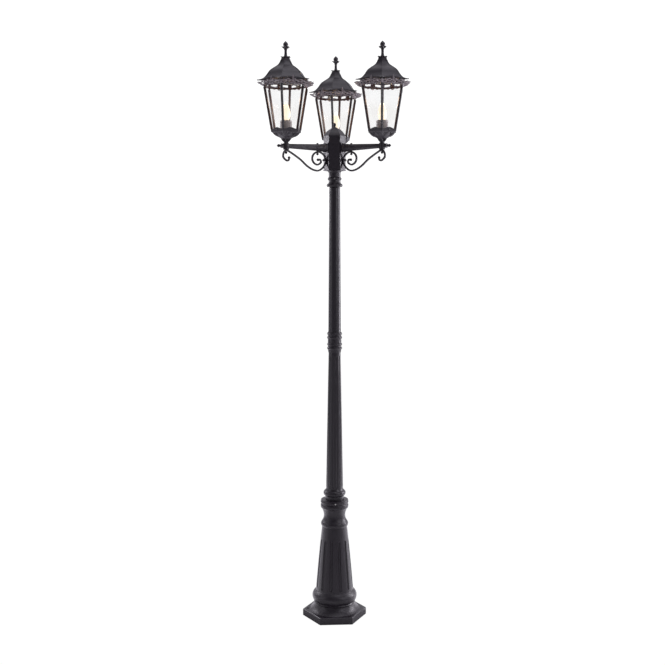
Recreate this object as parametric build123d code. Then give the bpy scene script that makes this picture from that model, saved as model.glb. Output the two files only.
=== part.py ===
"""Triple head lamp post: a fluted post on a six-sided foot, three arms and three six-sided lanterns.

Millimetres. The origin is on the floor at the post's axis, +Z is up, and the back arm points along +Y.
Every piece of the real post is a solid in a node of its own, written to parts/NODE.step.
"""
import os
from math import atan, cos, degrees, radians, sin, tan

from build123d import *

os.makedirs("parts", exist_ok=True)

# ---------------------------------------------------------------- driving dimensions
FIT = 0.2                   # clearance of a piece that seats in or around another
RUNNING = 0.5               # clearance between pieces that move against each other

# foot and pedestal, one hollow casting
PLINTH_CORNER_R = 133.0     # six-sided plinth, axis to corner
PLINTH_H = 29.0
PLINTH_TURN = 4.7           # how far the plinth is turned against the arms
PLINTH_EDGE = 3.0           # bevel of its top edge
ANCHOR_INSET = 21.0         # bolt holes in from the corners
ANCHOR_HOLE_R = 5.5
ANCHOR_BOLTS = 3
BASE_H = 497.0              # floor to the top of the pedestal
BASE_WALL = 7.0
COVE_R = 106.0               # where the round part meets the plinth
GROOVE_H = 66.0
GROOVE_R = 84.0
TORUS_R = 93.0
TORUS_H = 48.0
PEDESTAL_R = 78.0           # foot of the tapered pedestal
PEDESTAL_TOP_R = 52.0
CAPITAL_H = 113.0           # rings and waist above the pedestal
CAPITAL_RING_R = 56.5
CAPITAL_TOP_R = 58.0
SOCKET_DEPTH = 72.0         # how far the shaft goes down into the capital
CAPITAL_WAIST_R = 44.5
CAPITAL_LIP_H = 38.0        # double ring at its top
FLUTES = 12
BASE_FLUTE_R = 6.0
BASE_FLUTE_DEPTH = 3.4
BASE_FLUTE_START = 14.0     # above the torus
BASE_FLUTE_STOP = 59.0      # below the capital
SET_SCREW_DROP = 8.0        # below the top of the pedestal

# shafts
LOWER_SHAFT_L = 616.0
LOWER_SHAFT_R = 35.2
LOWER_SHAFT_TOP_R = 24.5
BULGE_R = 46.0
BULGE_H = 27.0
BULGE_RISE = 16.5           # its foot above the pedestal
CABLE_WAY_R = 18.0          # clear bore through the whole post
SHAFT_FLUTE_R = 7.0
SHAFT_FLUTE_DEPTH = 1.5
SHAFT_FLUTE_MARGIN = 16.0
SLEEVE_H = 86.0             # ringed sleeve over the joint of the two shafts
SLEEVE_R = 27.5
SLEEVE_RING_R = 30.6
TENON_R = 22.3              # turned ends inside the sleeve
TENON_GAP = 4.0
UPPER_SHAFT_L = 584.0
UPPER_SHAFT_R = 25.8
UPPER_SHAFT_TOP_R = 22.4
NECK_H = 67.0
NECK_WALL = 4.0
NECK_LIP_R = 32.2
NECK_RING_R = 28.1
NECK_TENON_R = 19.8
NECK_SPIGOT_R = 22.0        # threaded end of the neck inside the hub
NECK_NUT_H = 8.0
NECK_SCREW_RISE = 35.5      # above the upper shaft's shoulder
SET_SCREW_R = 3.0
SET_SCREWS = 3              # round the foot's socket and round the neck
SCREW_SOCKET_DEPTH = 3.0

# hub
HUB_CORNER_R = 44.4
HUB_H = 133.5
HUB_WALL = 5.0
HUB_FOOT_H = 7.0
SHELF_H = 5.0
SHELF_DROP = 17.0           # shelf top below the arms' centre line
ARM_RISE = 90.0             # arms' centre line above the hub's foot
HUB_CAP_H = 40.0
HUB_BUD_H = 18.5
BLOCK_APOTHEM = 12.0        # six-sided terminal block
BLOCK_H = 26.0

# arms
ARM_TURNS = {"back": 90.0, "left": 210.0, "right": 330.0}
ARM_REACH = 217.0           # post axis to lantern axis
ARM_ROOT_R = 13.5           # half height of the eight-sided bar
ARM_END_R = 8.4
ROOT_PLATE_T = 4.0
ROOT_BLOCK_L = 23.0
ROOT_BLOCK_HALF = 17.5
BOSS_R = 12.0
BOSS_RISE = 11.0            # top of the end boss above the centre line
STUD_PAD = 1.0              # flat seat on the bar at the stud
STUD_PAD_R = 4.6
SCREW_R = 2.0
SCREW_GRIP = 5.0            # how far a bracket screw goes into what it holds
TIP_COLLAR_R = 9.0
TIP_COLLAR_L = 12.0
TIP_BUD_R = 6.5
TIP_L = 19.0
STUD_REACH = 78.0           # ball stud on the arm and the second bracket screw
BALL_R = 5.0                # ball heads under the arm
SEAT_R = 3.4                # collar under a ball head
SEAT_T = 1.5
STUD_DOME_R = 4.2           # low dome of the stud on top of the arm
LEAD_R = 2.8
LEAD_BEND = 6.5

# scroll bracket
BAR_T = 7.0
BAR_W = 9.0
HUB_SCREW_DROP = 49.0       # bracket's screw in the hub, below the arms' centre line

# lantern
LANTERN_YAW = {"back": -9.9, "left": -6.7, "right": -2.1}
CUP_H = 44.3
CUP_NECK_R = 8.3
CUP_STEP_H = 24.0
CUP_FLOOR_H = 15.5
CUP_WALL = 3.0
CAGE_FOOT_R = 58.8          # corner radius of the cage at the cup
CAGE_TOP_R = 90.2
CAGE_H = 175.4
CAGE_WALL = 3.5
CAGE_BEAD_R = 3.6           # rounded edge down each corner
RING_H = 17.4               # upright band above the glass
BAND_RAIL = 3.0             # of the band below and above its openings
BAND_TAB_HALF = 9.0         # solid middle of each side of the band, for the screws
BAND_CORNER = 9.0           # solid corner of the band on each side
POST_HALF = 5.6             # half width of a corner post on each face
RAIL_H = 4.0                # foot rail under the glass
TOP_RAIL_H = 3.0            # of the sloping frame above the glass
GLASS_T = 3.0
GLASS_LAP = 2.4             # how far a pane reaches behind the posts
COLLAR_T = 2.6
GALLERY_CORNER_H = 4.8      # pierced rim round the foot of the glass
GALLERY_CREST_H = 11.6
FRIEZE_TILT = 23.0
FRIEZE_T = 2.4
FRIEZE_CREST = 35.6         # face plate, from its foot to the middle point
FRIEZE_HORN = 23.5
FRIEZE_SHOULDER = 30.2
VALANCE_DROP = 6.8          # middle lobe below the band
VALANCE_RISE = 2.6          # upright strip above the band's foot
LEAF_RISE = 32.5
LEAF_GAP = 3.4              # leaf in front of the band
ROOF_H = 86.6               # cage top to crown
ROOF_OVERHANG = 23.7        # brim beyond the band, before it is scalloped
ROOF_SCALLOP = 19.2         # how far the brim is cut back in the middle of a side
ROOF_NECK = 16.2
ROOF_SEAT = 0.05            # roof lies this far above the band
FINIAL_SEAT = 0.05          # finial above the crown, and the crown above the roof
ROOF_THIN_X = 2.0
ROOF_THIN_Z = 3.0
CROWN_R = 20.0
CROWN_H = 7.7
STEM_R = 5.5
STEM_H = 29.8
PETAL_R = 17.6
PETALS = 6
PETAL_CURL = 7.7            # tips of the petals above the stem's head
BUD_R = 10.3
BUD_H = 28.9
ROD_R = 3.0                 # threaded rod that the finial screws on
ROD_GRIP = 20.0
BRIDGE_W = 16.0
BRIDGE_T = 3.0
BRIDGE_DROP = 7.0           # below the top of the band
SIDE_SCREW_R = 1.8          # screws of frieze and bridge
SIDE_SCREW_RISE = 6.4       # above the top of the glass
SIDE_HEAD_R = 2.8
SIDE_HEAD_H = 1.8
NIPPLE_R = 5.0
NIPPLE_GRIP = 5.0           # nipple inside the arm's boss
NUT_AF = 16.0
NUT_H = 5.0
HOLDER_R = 22.8
HOLDER_FOOT = 25.0          # lampholder's foot above the cup's foot
HOLDER_H = 62.0
HOLDER_BORE_R = 13.6
BULB_R = 17.5
BULB_H = 72.0
BULB_CAP_R = 13.2
BULB_CAP_H = 30.0
BULB_WALL = 1.0

# ---------------------------------------------------------------- heights and radii worked out
LOWER_TOP = BASE_H + LOWER_SHAFT_L
SLEEVE_TOP = LOWER_TOP + SLEEVE_H
UPPER_TOP = SLEEVE_TOP + UPPER_SHAFT_L
HUB_FOOT = UPPER_TOP + NECK_H
HUB_TOP = HUB_FOOT + HUB_H
ARM_Z = HUB_FOOT + ARM_RISE
HUB_APOTHEM = HUB_CORNER_R * cos(radians(30))
SHELF_TOP = ARM_Z - SHELF_DROP
BOSS_TOP = ARM_Z + BOSS_RISE
LANTERN_Z = BOSS_TOP
SOCKET_R = LOWER_SHAFT_R + FIT
TORUS_TOP = GROOVE_H + TORUS_H
CAPITAL_Z = BASE_H - CAPITAL_H
SET_SCREW_Z = BASE_H - SET_SCREW_DROP
NECK_SCREW_Z = UPPER_TOP + NECK_SCREW_RISE
SCREW_HOLE_R = SCREW_R + FIT / 2

FLAT = cos(radians(30))                 # corner radius to distance across the flat
HALF_SIDE = tan(radians(30))            # distance across the flat to half a side
CAGE_FOOT = CAGE_FOOT_R * FLAT
CAGE_TOP = CAGE_TOP_R * FLAT
GLASS_TOP = CUP_H + CAGE_H
CAGE_END = GLASS_TOP + RING_H
LEAN = degrees(atan((CAGE_TOP - CAGE_FOOT) / CAGE_H))
ROOF_TOP = CAGE_END + ROOF_H
ROOF_SPREAD = CAGE_TOP + ROOF_OVERHANG
CROWN_TOP = ROOF_TOP + CROWN_H
BRIDGE_Z = CAGE_END - BRIDGE_DROP
BRIDGE_SPAN = CAGE_TOP - CAGE_WALL / cos(radians(LEAN)) - FIT
SIDE_SCREW_Z = GLASS_TOP + SIDE_SCREW_RISE
SIDE_HOLE_R = SIDE_SCREW_R + FIT / 2
HOLDER_TOP = HOLDER_FOOT + HOLDER_H
CAP_FOOT = HOLDER_TOP - BULB_CAP_H - 2


# ---------------------------------------------------------------- drawing helpers
def spot(distance, height):
    return Vector(distance, 0, height)


def line(*points):
    return Polyline(*[spot(*p) for p in points])


def arc(start, middle, end):
    return ThreePointArc(spot(*start), spot(*middle), spot(*end))


def curve(*points):
    return Spline(*[spot(*p) for p in points])


def start_of(edge):
    start = edge @ 0
    return start.X, start.Z


def end_of(edge):
    end = edge @ 1
    return end.X, end.Z


def outline(*stretches):
    """One flat face from stretches that follow each other, in the plane of axis and distance."""
    return make_face([edge for stretch in stretches for edge in stretch.edges()])


def turned(*stretches):
    return revolve(outline(*stretches), Axis.Z)


FROM_FOOT = (Align.CENTER, Align.CENTER, Align.MIN)


def rod(radius, foot, top):
    return Pos(0, 0, foot) * Cylinder(radius, top - foot, align=FROM_FOOT)


def spun(piece, count=6, first=0.0):
    return [Rot(0, 0, first + k * 360 / count) * piece for k in range(count)]


def joined(pieces):
    whole = pieces[0]
    for piece in pieces[1:]:
        whole += piece
    return whole


def side_wedge(reach, foot, top):
    """The sixth of the space that belongs to the side facing +X."""
    spread = reach * HALF_SIDE
    sheet = make_face(Polyline((0, 0), (reach, spread), (reach, -spread), close=True))
    return Pos(0, 0, foot) * extrude(sheet, top - foot)


def six_sided(section):
    """A solid of six like sides with mitred corners, one corner on +X."""
    box = section.bounding_box()
    reach = box.max.X + 1
    strip = extrude(section, reach, both=True)
    side = strip & side_wedge(reach, box.min.Z - 1, box.max.Z + 1)
    return joined(spun(side, first=30))


def hexagon_bar(corner_r, foot, top):
    return Pos(0, 0, foot) * extrude(RegularPolygon(corner_r, 6), top - foot)


def leaning(distance, height, lean):
    """Plane of a side that leans out by an angle: x runs along the side, y up it, z outwards."""
    slope = radians(lean)
    return Plane(origin=(distance, 0, height), x_dir=(0, 1, 0), z_dir=(cos(slope), 0, -sin(slope)))


nodes = {}


def keep(name, solids):
    """Remember a node as the list of its separate solids."""
    found = solids if isinstance(solids, list) else [solids]
    nodes[name] = [solid for piece in found for solid in piece.solids()]


# ---------------------------------------------------------------- post
def radial_holes(radius, height, reach, count, first):
    hole = Pos(0, 0, height) * Rot(0, 90, 0) * rod(radius, 0, reach)
    return spun(hole, count, first)


def set_screws(height, tip, head):
    """Headless screws with a six-sided socket, from the shaft out to the ring that they go through."""
    screw = Pos(0, 0, height) * Rot(0, 90, 0) * rod(SET_SCREW_R, tip, head)
    socket = Pos(head, 0, height) * Rot(0, 90, 0) * hexagon_bar(SET_SCREW_R / 2, -SCREW_SOCKET_DEPTH, 1)
    return spun(screw - socket, SET_SCREWS, 30)


def flute(foot_r, foot_z, top_r, top_z, cutter_r, depth):
    """Round-ended cutter along a taper, sunk to a depth."""
    out = cutter_r - depth
    start = Vector(foot_r + out, 0, foot_z)
    end = Vector(top_r + out, 0, top_z)
    bar = Plane(origin=start, z_dir=end - start) * rod(cutter_r, 0, (end - start).length)
    return bar + Pos(start) * Sphere(cutter_r) + Pos(end) * Sphere(cutter_r)


def taper(foot_r, foot_z, top_r, top_z, height):
    return foot_r + (top_r - foot_r) * (height - foot_z) / (top_z - foot_z)


def make_base():
    waist_r = CAPITAL_WAIST_R
    waist_z = BASE_H - SOCKET_DEPTH + 8.0
    ring_z = CAPITAL_Z + 13.0
    lip_z = BASE_H - CAPITAL_LIP_H
    outside = [
        line((0, 0), (COVE_R, 0), (COVE_R, PLINTH_H)),
        arc((COVE_R, PLINTH_H), (GROOVE_R + 8, PLINTH_H + 13), (GROOVE_R, GROOVE_H - 8)),
        line((GROOVE_R, GROOVE_H - 8), (GROOVE_R + 2.5, GROOVE_H - 4), (GROOVE_R, GROOVE_H)),
        arc((GROOVE_R, GROOVE_H), (TORUS_R, GROOVE_H + TORUS_H * 0.46), (PEDESTAL_R + 5, TORUS_TOP - 5)),
        line((PEDESTAL_R + 5, TORUS_TOP - 5), (PEDESTAL_R, TORUS_TOP)),
        arc((PEDESTAL_R, TORUS_TOP), ((PEDESTAL_R + PEDESTAL_TOP_R) / 2 + 1.2, (TORUS_TOP + CAPITAL_Z) / 2),
            (PEDESTAL_TOP_R, CAPITAL_Z)),
        arc((PEDESTAL_TOP_R, CAPITAL_Z), (CAPITAL_RING_R, ring_z), (CAPITAL_RING_R - 3, ring_z + 8)),
        curve((CAPITAL_RING_R - 3, ring_z + 8), (waist_r + 4.5, ring_z + 15), (waist_r + 1, waist_z - 11),
              (waist_r, waist_z), (waist_r + 2, waist_z + 12), (CAPITAL_TOP_R - 6.5, lip_z)),
        line((CAPITAL_TOP_R - 6.5, lip_z), (CAPITAL_TOP_R - 1.5, lip_z + 5)),
        arc((CAPITAL_TOP_R - 1.5, lip_z + 5), (CAPITAL_TOP_R - 0.2, lip_z + 13),
            (CAPITAL_TOP_R - 1.8, lip_z + 20)),
        line((CAPITAL_TOP_R - 1.8, lip_z + 20), (CAPITAL_TOP_R - 3.4, lip_z + 22.5),
             (CAPITAL_TOP_R - 1, lip_z + 25), (CAPITAL_TOP_R, lip_z + 30), (CAPITAL_TOP_R - 2, BASE_H),
             (0, BASE_H), (0, 0)),
    ]
    body = turned(*outside)
    plinth = hexagon_bar(PLINTH_CORNER_R, 0, PLINTH_H)
    plinth = chamfer(plinth.faces().sort_by(Axis.Z)[-1].edges(), PLINTH_EDGE)
    body += plinth
    seat_z = BASE_H - SOCKET_DEPTH
    hollow = turned(
        line((0, 0), (GROOVE_R - BASE_WALL, 0), (GROOVE_R - BASE_WALL, GROOVE_H),
             (PEDESTAL_R - BASE_WALL, TORUS_TOP), (PEDESTAL_TOP_R - BASE_WALL, CAPITAL_Z),
             (CABLE_WAY_R, seat_z - 10), (CABLE_WAY_R, seat_z), (SOCKET_R, seat_z),
             (SOCKET_R, BASE_H), (0, BASE_H), (0, 0)))
    body -= hollow
    foot_z = TORUS_TOP + BASE_FLUTE_START
    top_z = CAPITAL_Z - BASE_FLUTE_STOP
    ends = [taper(PEDESTAL_R, TORUS_TOP, PEDESTAL_TOP_R, CAPITAL_Z, z) for z in (foot_z, top_z)]
    groove = flute(ends[0], foot_z, ends[1], top_z, BASE_FLUTE_R, BASE_FLUTE_DEPTH)
    body -= spun(groove, FLUTES, 180 / FLUTES)
    bolt_hole = Pos(PLINTH_CORNER_R - ANCHOR_INSET, 0, 0) * rod(ANCHOR_HOLE_R, -1, PLINTH_H + 1)
    body -= spun(bolt_hole, ANCHOR_BOLTS, 60)
    body -= radial_holes(SET_SCREW_R + FIT / 2, SET_SCREW_Z, CAPITAL_TOP_R + 5, SET_SCREWS, 30)
    keep("base_casting", Rot(0, 0, PLINTH_TURN) * body)
    screws = set_screws(SET_SCREW_Z, LOWER_SHAFT_R, CAPITAL_TOP_R - 0.5)
    keep("base_set_screws", [Rot(0, 0, PLINTH_TURN) * one for one in screws])


def make_lower_shaft():
    foot = BASE_H - SOCKET_DEPTH + FIT
    bulge_z = BASE_H + BULGE_RISE
    start_z = bulge_z + BULGE_H
    neck_r = LOWER_SHAFT_R + 3.4
    body = turned(
        line((CABLE_WAY_R, foot), (LOWER_SHAFT_R, foot), (LOWER_SHAFT_R, BASE_H), (neck_r, BASE_H),
             (neck_r, bulge_z)),
        arc((neck_r, bulge_z), (BULGE_R, bulge_z + BULGE_H * 0.5), (LOWER_SHAFT_R + 3, start_z - 3)),
        line((LOWER_SHAFT_R + 3, start_z - 3), (LOWER_SHAFT_R, start_z + 4), (LOWER_SHAFT_TOP_R, LOWER_TOP),
             (TENON_R, LOWER_TOP), (TENON_R, LOWER_TOP + SLEEVE_H / 2 - TENON_GAP / 2),
             (CABLE_WAY_R, LOWER_TOP + SLEEVE_H / 2 - TENON_GAP / 2), (CABLE_WAY_R, foot)))
    foot_z = start_z + SHAFT_FLUTE_MARGIN
    top_z = LOWER_TOP - SHAFT_FLUTE_MARGIN
    ends = [taper(LOWER_SHAFT_R, start_z, LOWER_SHAFT_TOP_R, LOWER_TOP, z) for z in (foot_z, top_z)]
    groove = flute(ends[0], foot_z, ends[1], top_z, SHAFT_FLUTE_R, SHAFT_FLUTE_DEPTH)
    body -= spun(groove, FLUTES, 180 / FLUTES)
    keep("lower_shaft", Rot(0, 0, PLINTH_TURN) * body)


def make_joint_sleeve():
    bore = TENON_R + FIT
    foot = LOWER_TOP + FIT
    top = SLEEVE_TOP - FIT
    ring = SLEEVE_RING_R
    waist = SLEEVE_R

    def rib(middle, half):
        return arc((waist, middle - half), (ring, middle), (waist, middle + half))

    ribs = [foot + 18, foot + 34, top - 24, top - 8]
    half = 5.5
    stretches = [line((bore, foot), (LOWER_SHAFT_TOP_R + 0.7, foot), (waist, ribs[0] - half))]
    for index, middle in enumerate(ribs):
        stretches.append(rib(middle, half))
        after = ribs[index + 1] - half if index < 3 else top
        stretches.append(line((waist, middle + half), (waist, after)))
    stretches.append(line((waist, top), (bore, top), (bore, foot)))
    keep("joint_sleeve", turned(*stretches))


def make_upper_shaft():
    foot = LOWER_TOP + SLEEVE_H / 2 + TENON_GAP / 2
    tenon_top = HUB_FOOT - 10.0
    keep("upper_shaft", turned(
        line((CABLE_WAY_R, foot), (TENON_R, foot), (TENON_R, SLEEVE_TOP), (UPPER_SHAFT_R, SLEEVE_TOP),
             (UPPER_SHAFT_TOP_R, UPPER_TOP), (NECK_TENON_R, UPPER_TOP + 3), (NECK_TENON_R, tenon_top),
             (CABLE_WAY_R, tenon_top), (CABLE_WAY_R, foot))))


def make_neck():
    bore = NECK_TENON_R + FIT
    neck = bore + NECK_WALL
    foot = UPPER_TOP + 3.5
    ring_z = NECK_SCREW_Z
    nut_z = HUB_FOOT + HUB_FOOT_H
    body = turned(
        line((bore, foot), (NECK_LIP_R - 3, foot)),
        arc((NECK_LIP_R - 3, foot), (NECK_LIP_R, foot + 6), (NECK_LIP_R - 3.5, foot + 12)),
        arc((NECK_LIP_R - 3.5, foot + 12), (neck + 1, foot + 15), (neck, foot + 18)),
        line((neck, foot + 18), (neck, ring_z - 6)),
        arc((neck, ring_z - 6), (NECK_RING_R, ring_z), (neck, ring_z + 6)),
        line((neck, ring_z + 6), (neck, HUB_FOOT - 10)),
        arc((neck, HUB_FOOT - 10), (neck + 2, HUB_FOOT - 4), (neck + 7, HUB_FOOT)),
        line((neck + 7, HUB_FOOT), (NECK_SPIGOT_R, HUB_FOOT), (NECK_SPIGOT_R, nut_z + NECK_NUT_H + 1),
             (CABLE_WAY_R, nut_z + NECK_NUT_H + 1), (CABLE_WAY_R, HUB_FOOT - 9), (bore, HUB_FOOT - 9),
             (bore, foot)))
    body -= radial_holes(SET_SCREW_R + FIT / 2, ring_z, NECK_RING_R + 5, SET_SCREWS, 30)
    keep("neck_socket", body)
    nut = hexagon_bar(NECK_SPIGOT_R + 9, nut_z, nut_z + NECK_NUT_H)
    keep("neck_nut", nut - rod(NECK_SPIGOT_R + FIT / 2, nut_z - 1, nut_z + NECK_NUT_H + 1))
    keep("neck_set_screws", set_screws(ring_z, NECK_TENON_R, NECK_RING_R))


# ---------------------------------------------------------------- hub
def make_hub():
    inner_r = HUB_CORNER_R - HUB_WALL / FLAT
    body = hexagon_bar(HUB_CORNER_R, HUB_FOOT, HUB_TOP)
    body += hexagon_bar(HUB_CORNER_R + 1.6, HUB_FOOT, HUB_FOOT + 3)
    body -= hexagon_bar(inner_r, HUB_FOOT + HUB_FOOT_H, SHELF_TOP - SHELF_H)
    body -= hexagon_bar(inner_r, SHELF_TOP, HUB_TOP + 1)
    body -= rod(NECK_SPIGOT_R + FIT, HUB_FOOT - 1, HUB_FOOT + HUB_FOOT_H + 1)
    cable_hole = Pos(BLOCK_APOTHEM + 9, 0, 0) * rod(5, SHELF_TOP - SHELF_H - 1, SHELF_TOP + 1)
    body -= cable_hole
    arms = len(ARM_TURNS)
    body -= radial_holes(LEAD_R + FIT, ARM_Z, HUB_CORNER_R, arms, 90)
    body -= radial_holes(SCREW_HOLE_R, ARM_Z - HUB_SCREW_DROP, HUB_CORNER_R, arms, 90)
    keep("hub", body)

    cap_foot = HUB_TOP
    cap_top = HUB_TOP + HUB_CAP_H
    side = HUB_APOTHEM
    bell = six_sided(outline(
        line((0, cap_foot), (side, cap_foot), (side, cap_foot + 4)),
        curve((side, cap_foot + 4), (side * 0.88, cap_foot + 14), (side * 0.64, cap_foot + 26),
              (side * 0.33, cap_foot + 35), (side * 0.16, cap_top)),
        line((side * 0.16, cap_top), (0, cap_top), (0, cap_foot))))
    spigot = hexagon_bar(inner_r - FIT, cap_foot - 6, cap_foot + 1)
    bud = turned(
        line((0, cap_top - 2), (4.2, cap_top - 2), (3.4, cap_top + HUB_BUD_H * 0.25)),
        curve((3.4, cap_top + HUB_BUD_H * 0.25), (5.8, cap_top + HUB_BUD_H * 0.5),
              (3.6, cap_top + HUB_BUD_H * 0.8), (0, cap_top + HUB_BUD_H)),
        line((0, cap_top + HUB_BUD_H), (0, cap_top - 2)))
    keep("hub_cap", bell + spigot + bud)

    block_r = BLOCK_APOTHEM / FLAT
    block = hexagon_bar(block_r, SHELF_TOP, SHELF_TOP + BLOCK_H)
    screw_pit = Pos(block_r * 0.62, 0, 0) * rod(1.8, SHELF_TOP + BLOCK_H - 6, SHELF_TOP + BLOCK_H + 1)
    keep("terminal_block", block - spun(screw_pit))


# ---------------------------------------------------------------- arms, made pointing along +X
def octagon_section(reach, half):
    return Plane(origin=(reach, 0, ARM_Z), x_dir=(0, 1, 0), z_dir=(1, 0, 0)) * (
        Rot(0, 0, 22.5) * RegularPolygon(half / cos(radians(22.5)), 8))


def octagon_bar(*sections):
    """Eight-sided bar through sections given as distance along the arm and half height."""
    return loft([octagon_section(*section) for section in sections], ruled=True)


def along_arm(radius, start, end, height=ARM_Z):
    return Pos(0, 0, height) * Rot(0, 90, 0) * rod(radius, start, end)


ROOT_X = HUB_APOTHEM
BLOCK_END = ROOT_X + ROOT_PLATE_T + ROOT_BLOCK_L
BAR_END = ARM_REACH - BOSS_R * 0.6
TIP_X = ARM_REACH + BOSS_R - 2 + TIP_COLLAR_L


def arm_half(reach):
    """Half height of the tapered bar at a distance from the post."""
    return taper(ARM_ROOT_R, BLOCK_END - 1, ARM_END_R, BAR_END, reach)


PAD_RISE = arm_half(STUD_REACH) + STUD_PAD
BOSS_FOOT = ARM_Z - PAD_RISE                # boss and pad share the bracket's seat
BRACKET_Z = BOSS_FOOT - BAR_T / 2           # bar's centre line where it is screwed to the arm


def make_arm():
    plate = Pos(ROOT_X, 0, ARM_Z) * Box(ROOT_PLATE_T, HUB_CORNER_R * 0.84, ROOT_BLOCK_HALF * 2.3,
                                        align=(Align.MIN, Align.CENTER, Align.CENTER))
    block = octagon_bar((ROOT_X + 1, ROOT_BLOCK_HALF), (ROOT_X + 12, ROOT_BLOCK_HALF * 0.92),
                        (BLOCK_END, ARM_ROOT_R))
    collar = octagon_bar((BLOCK_END - 5, ARM_ROOT_R + 1.0), (BLOCK_END, ARM_ROOT_R + 1.0))
    bar = octagon_bar((BLOCK_END - 1, ARM_ROOT_R), (BAR_END, ARM_END_R))
    boss = Pos(ARM_REACH, 0, 0) * rod(BOSS_R, BOSS_FOOT, BOSS_TOP)
    tip = along_arm(TIP_COLLAR_R * 0.62, ARM_REACH, TIP_X)
    flange = along_arm(TIP_COLLAR_R, TIP_X - 5, TIP_X)
    bead = along_arm(TIP_COLLAR_R * 0.84, TIP_X - 9, TIP_X - 6)
    pad = Pos(STUD_REACH, 0, 0) * rod(STUD_PAD_R, ARM_Z - PAD_RISE, ARM_Z + PAD_RISE)
    body = plate + block + collar + bar + boss + tip + flange + bead + pad
    lead_way = along_arm(LEAD_R + FIT, ROOT_X - 1, ARM_REACH)
    lead_rise = Pos(ARM_REACH, 0, 0) * rod(LEAD_R + FIT, ARM_Z - LEAD_R - FIT, BOSS_TOP)
    bend_room = Pos(ARM_REACH, 0, ARM_Z) * Rot(90, 0, 0) * Cylinder(LEAD_BEND + LEAD_R, 2 * (LEAD_R + FIT))
    nipple_seat = Pos(ARM_REACH, 0, 0) * rod(NIPPLE_R + FIT / 2, BOSS_TOP - NIPPLE_GRIP - FIT, BOSS_TOP + 1)
    body -= lead_way + lead_rise + nipple_seat + (bend_room & Pos(ARM_REACH, 0, 0) * rod(
        LEAD_BEND + LEAD_R, ARM_Z - LEAD_R - FIT, BOSS_TOP - NIPPLE_GRIP))
    thread = SCREW_GRIP + 1
    body -= Pos(STUD_REACH, 0, 0) * rod(SCREW_HOLE_R, ARM_Z + PAD_RISE - thread, ARM_Z + PAD_RISE + 1)
    for reach in (STUD_REACH, ARM_REACH):
        body -= Pos(reach, 0, 0) * rod(SCREW_HOLE_R, BOSS_FOOT - 1, BOSS_FOOT + thread)
    body -= along_arm(SCREW_HOLE_R, TIP_X - 7, TIP_X + 1)
    return body


def make_arm_tip():
    start = TIP_X
    end = TIP_X + TIP_L
    profile = outline(
        line((0, -6), (2, -6), (2, 0), (4.4, 0)),
        curve((4.4, 0), (3.4, 3), (TIP_BUD_R, TIP_L * 0.48), (3.2, TIP_L * 0.8), (0, TIP_L)),
        line((0, TIP_L), (0, -6)))
    return Pos(start, 0, ARM_Z) * Rot(0, 90, 0) * revolve(profile, Axis.Z)


def ball_screw(grip):
    """Ball-headed screw pointing up from the origin, which is under the piece that it grips."""
    shank = rod(SCREW_R, 0, grip + SCREW_GRIP)
    return shank + rod(SEAT_R, -SEAT_T, 0) + Pos(0, 0, -SEAT_T - BALL_R * 0.7) * Sphere(BALL_R)


def dome_stud():
    """Stud pointing down from the origin, with a low dome on the seat above it."""
    dome = Sphere(STUD_DOME_R) & rod(STUD_DOME_R, 0, STUD_DOME_R + 1)
    return rod(SCREW_R, -SCREW_GRIP, 0) + dome


def make_arm_screws():
    under_bar = BRACKET_Z - BAR_T / 2
    bracket = [Pos(reach, 0, under_bar) * ball_screw(BAR_T) for reach in (ARM_REACH, STUD_REACH)]
    into_hub = Pos(HUB_APOTHEM + BAR_T, 0, ARM_Z - HUB_SCREW_DROP) * Rot(0, -90, 0) * ball_screw(BAR_T)
    stud = Pos(STUD_REACH, 0, ARM_Z + PAD_RISE) * dome_stud()
    return bracket + [into_hub], stud


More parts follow.
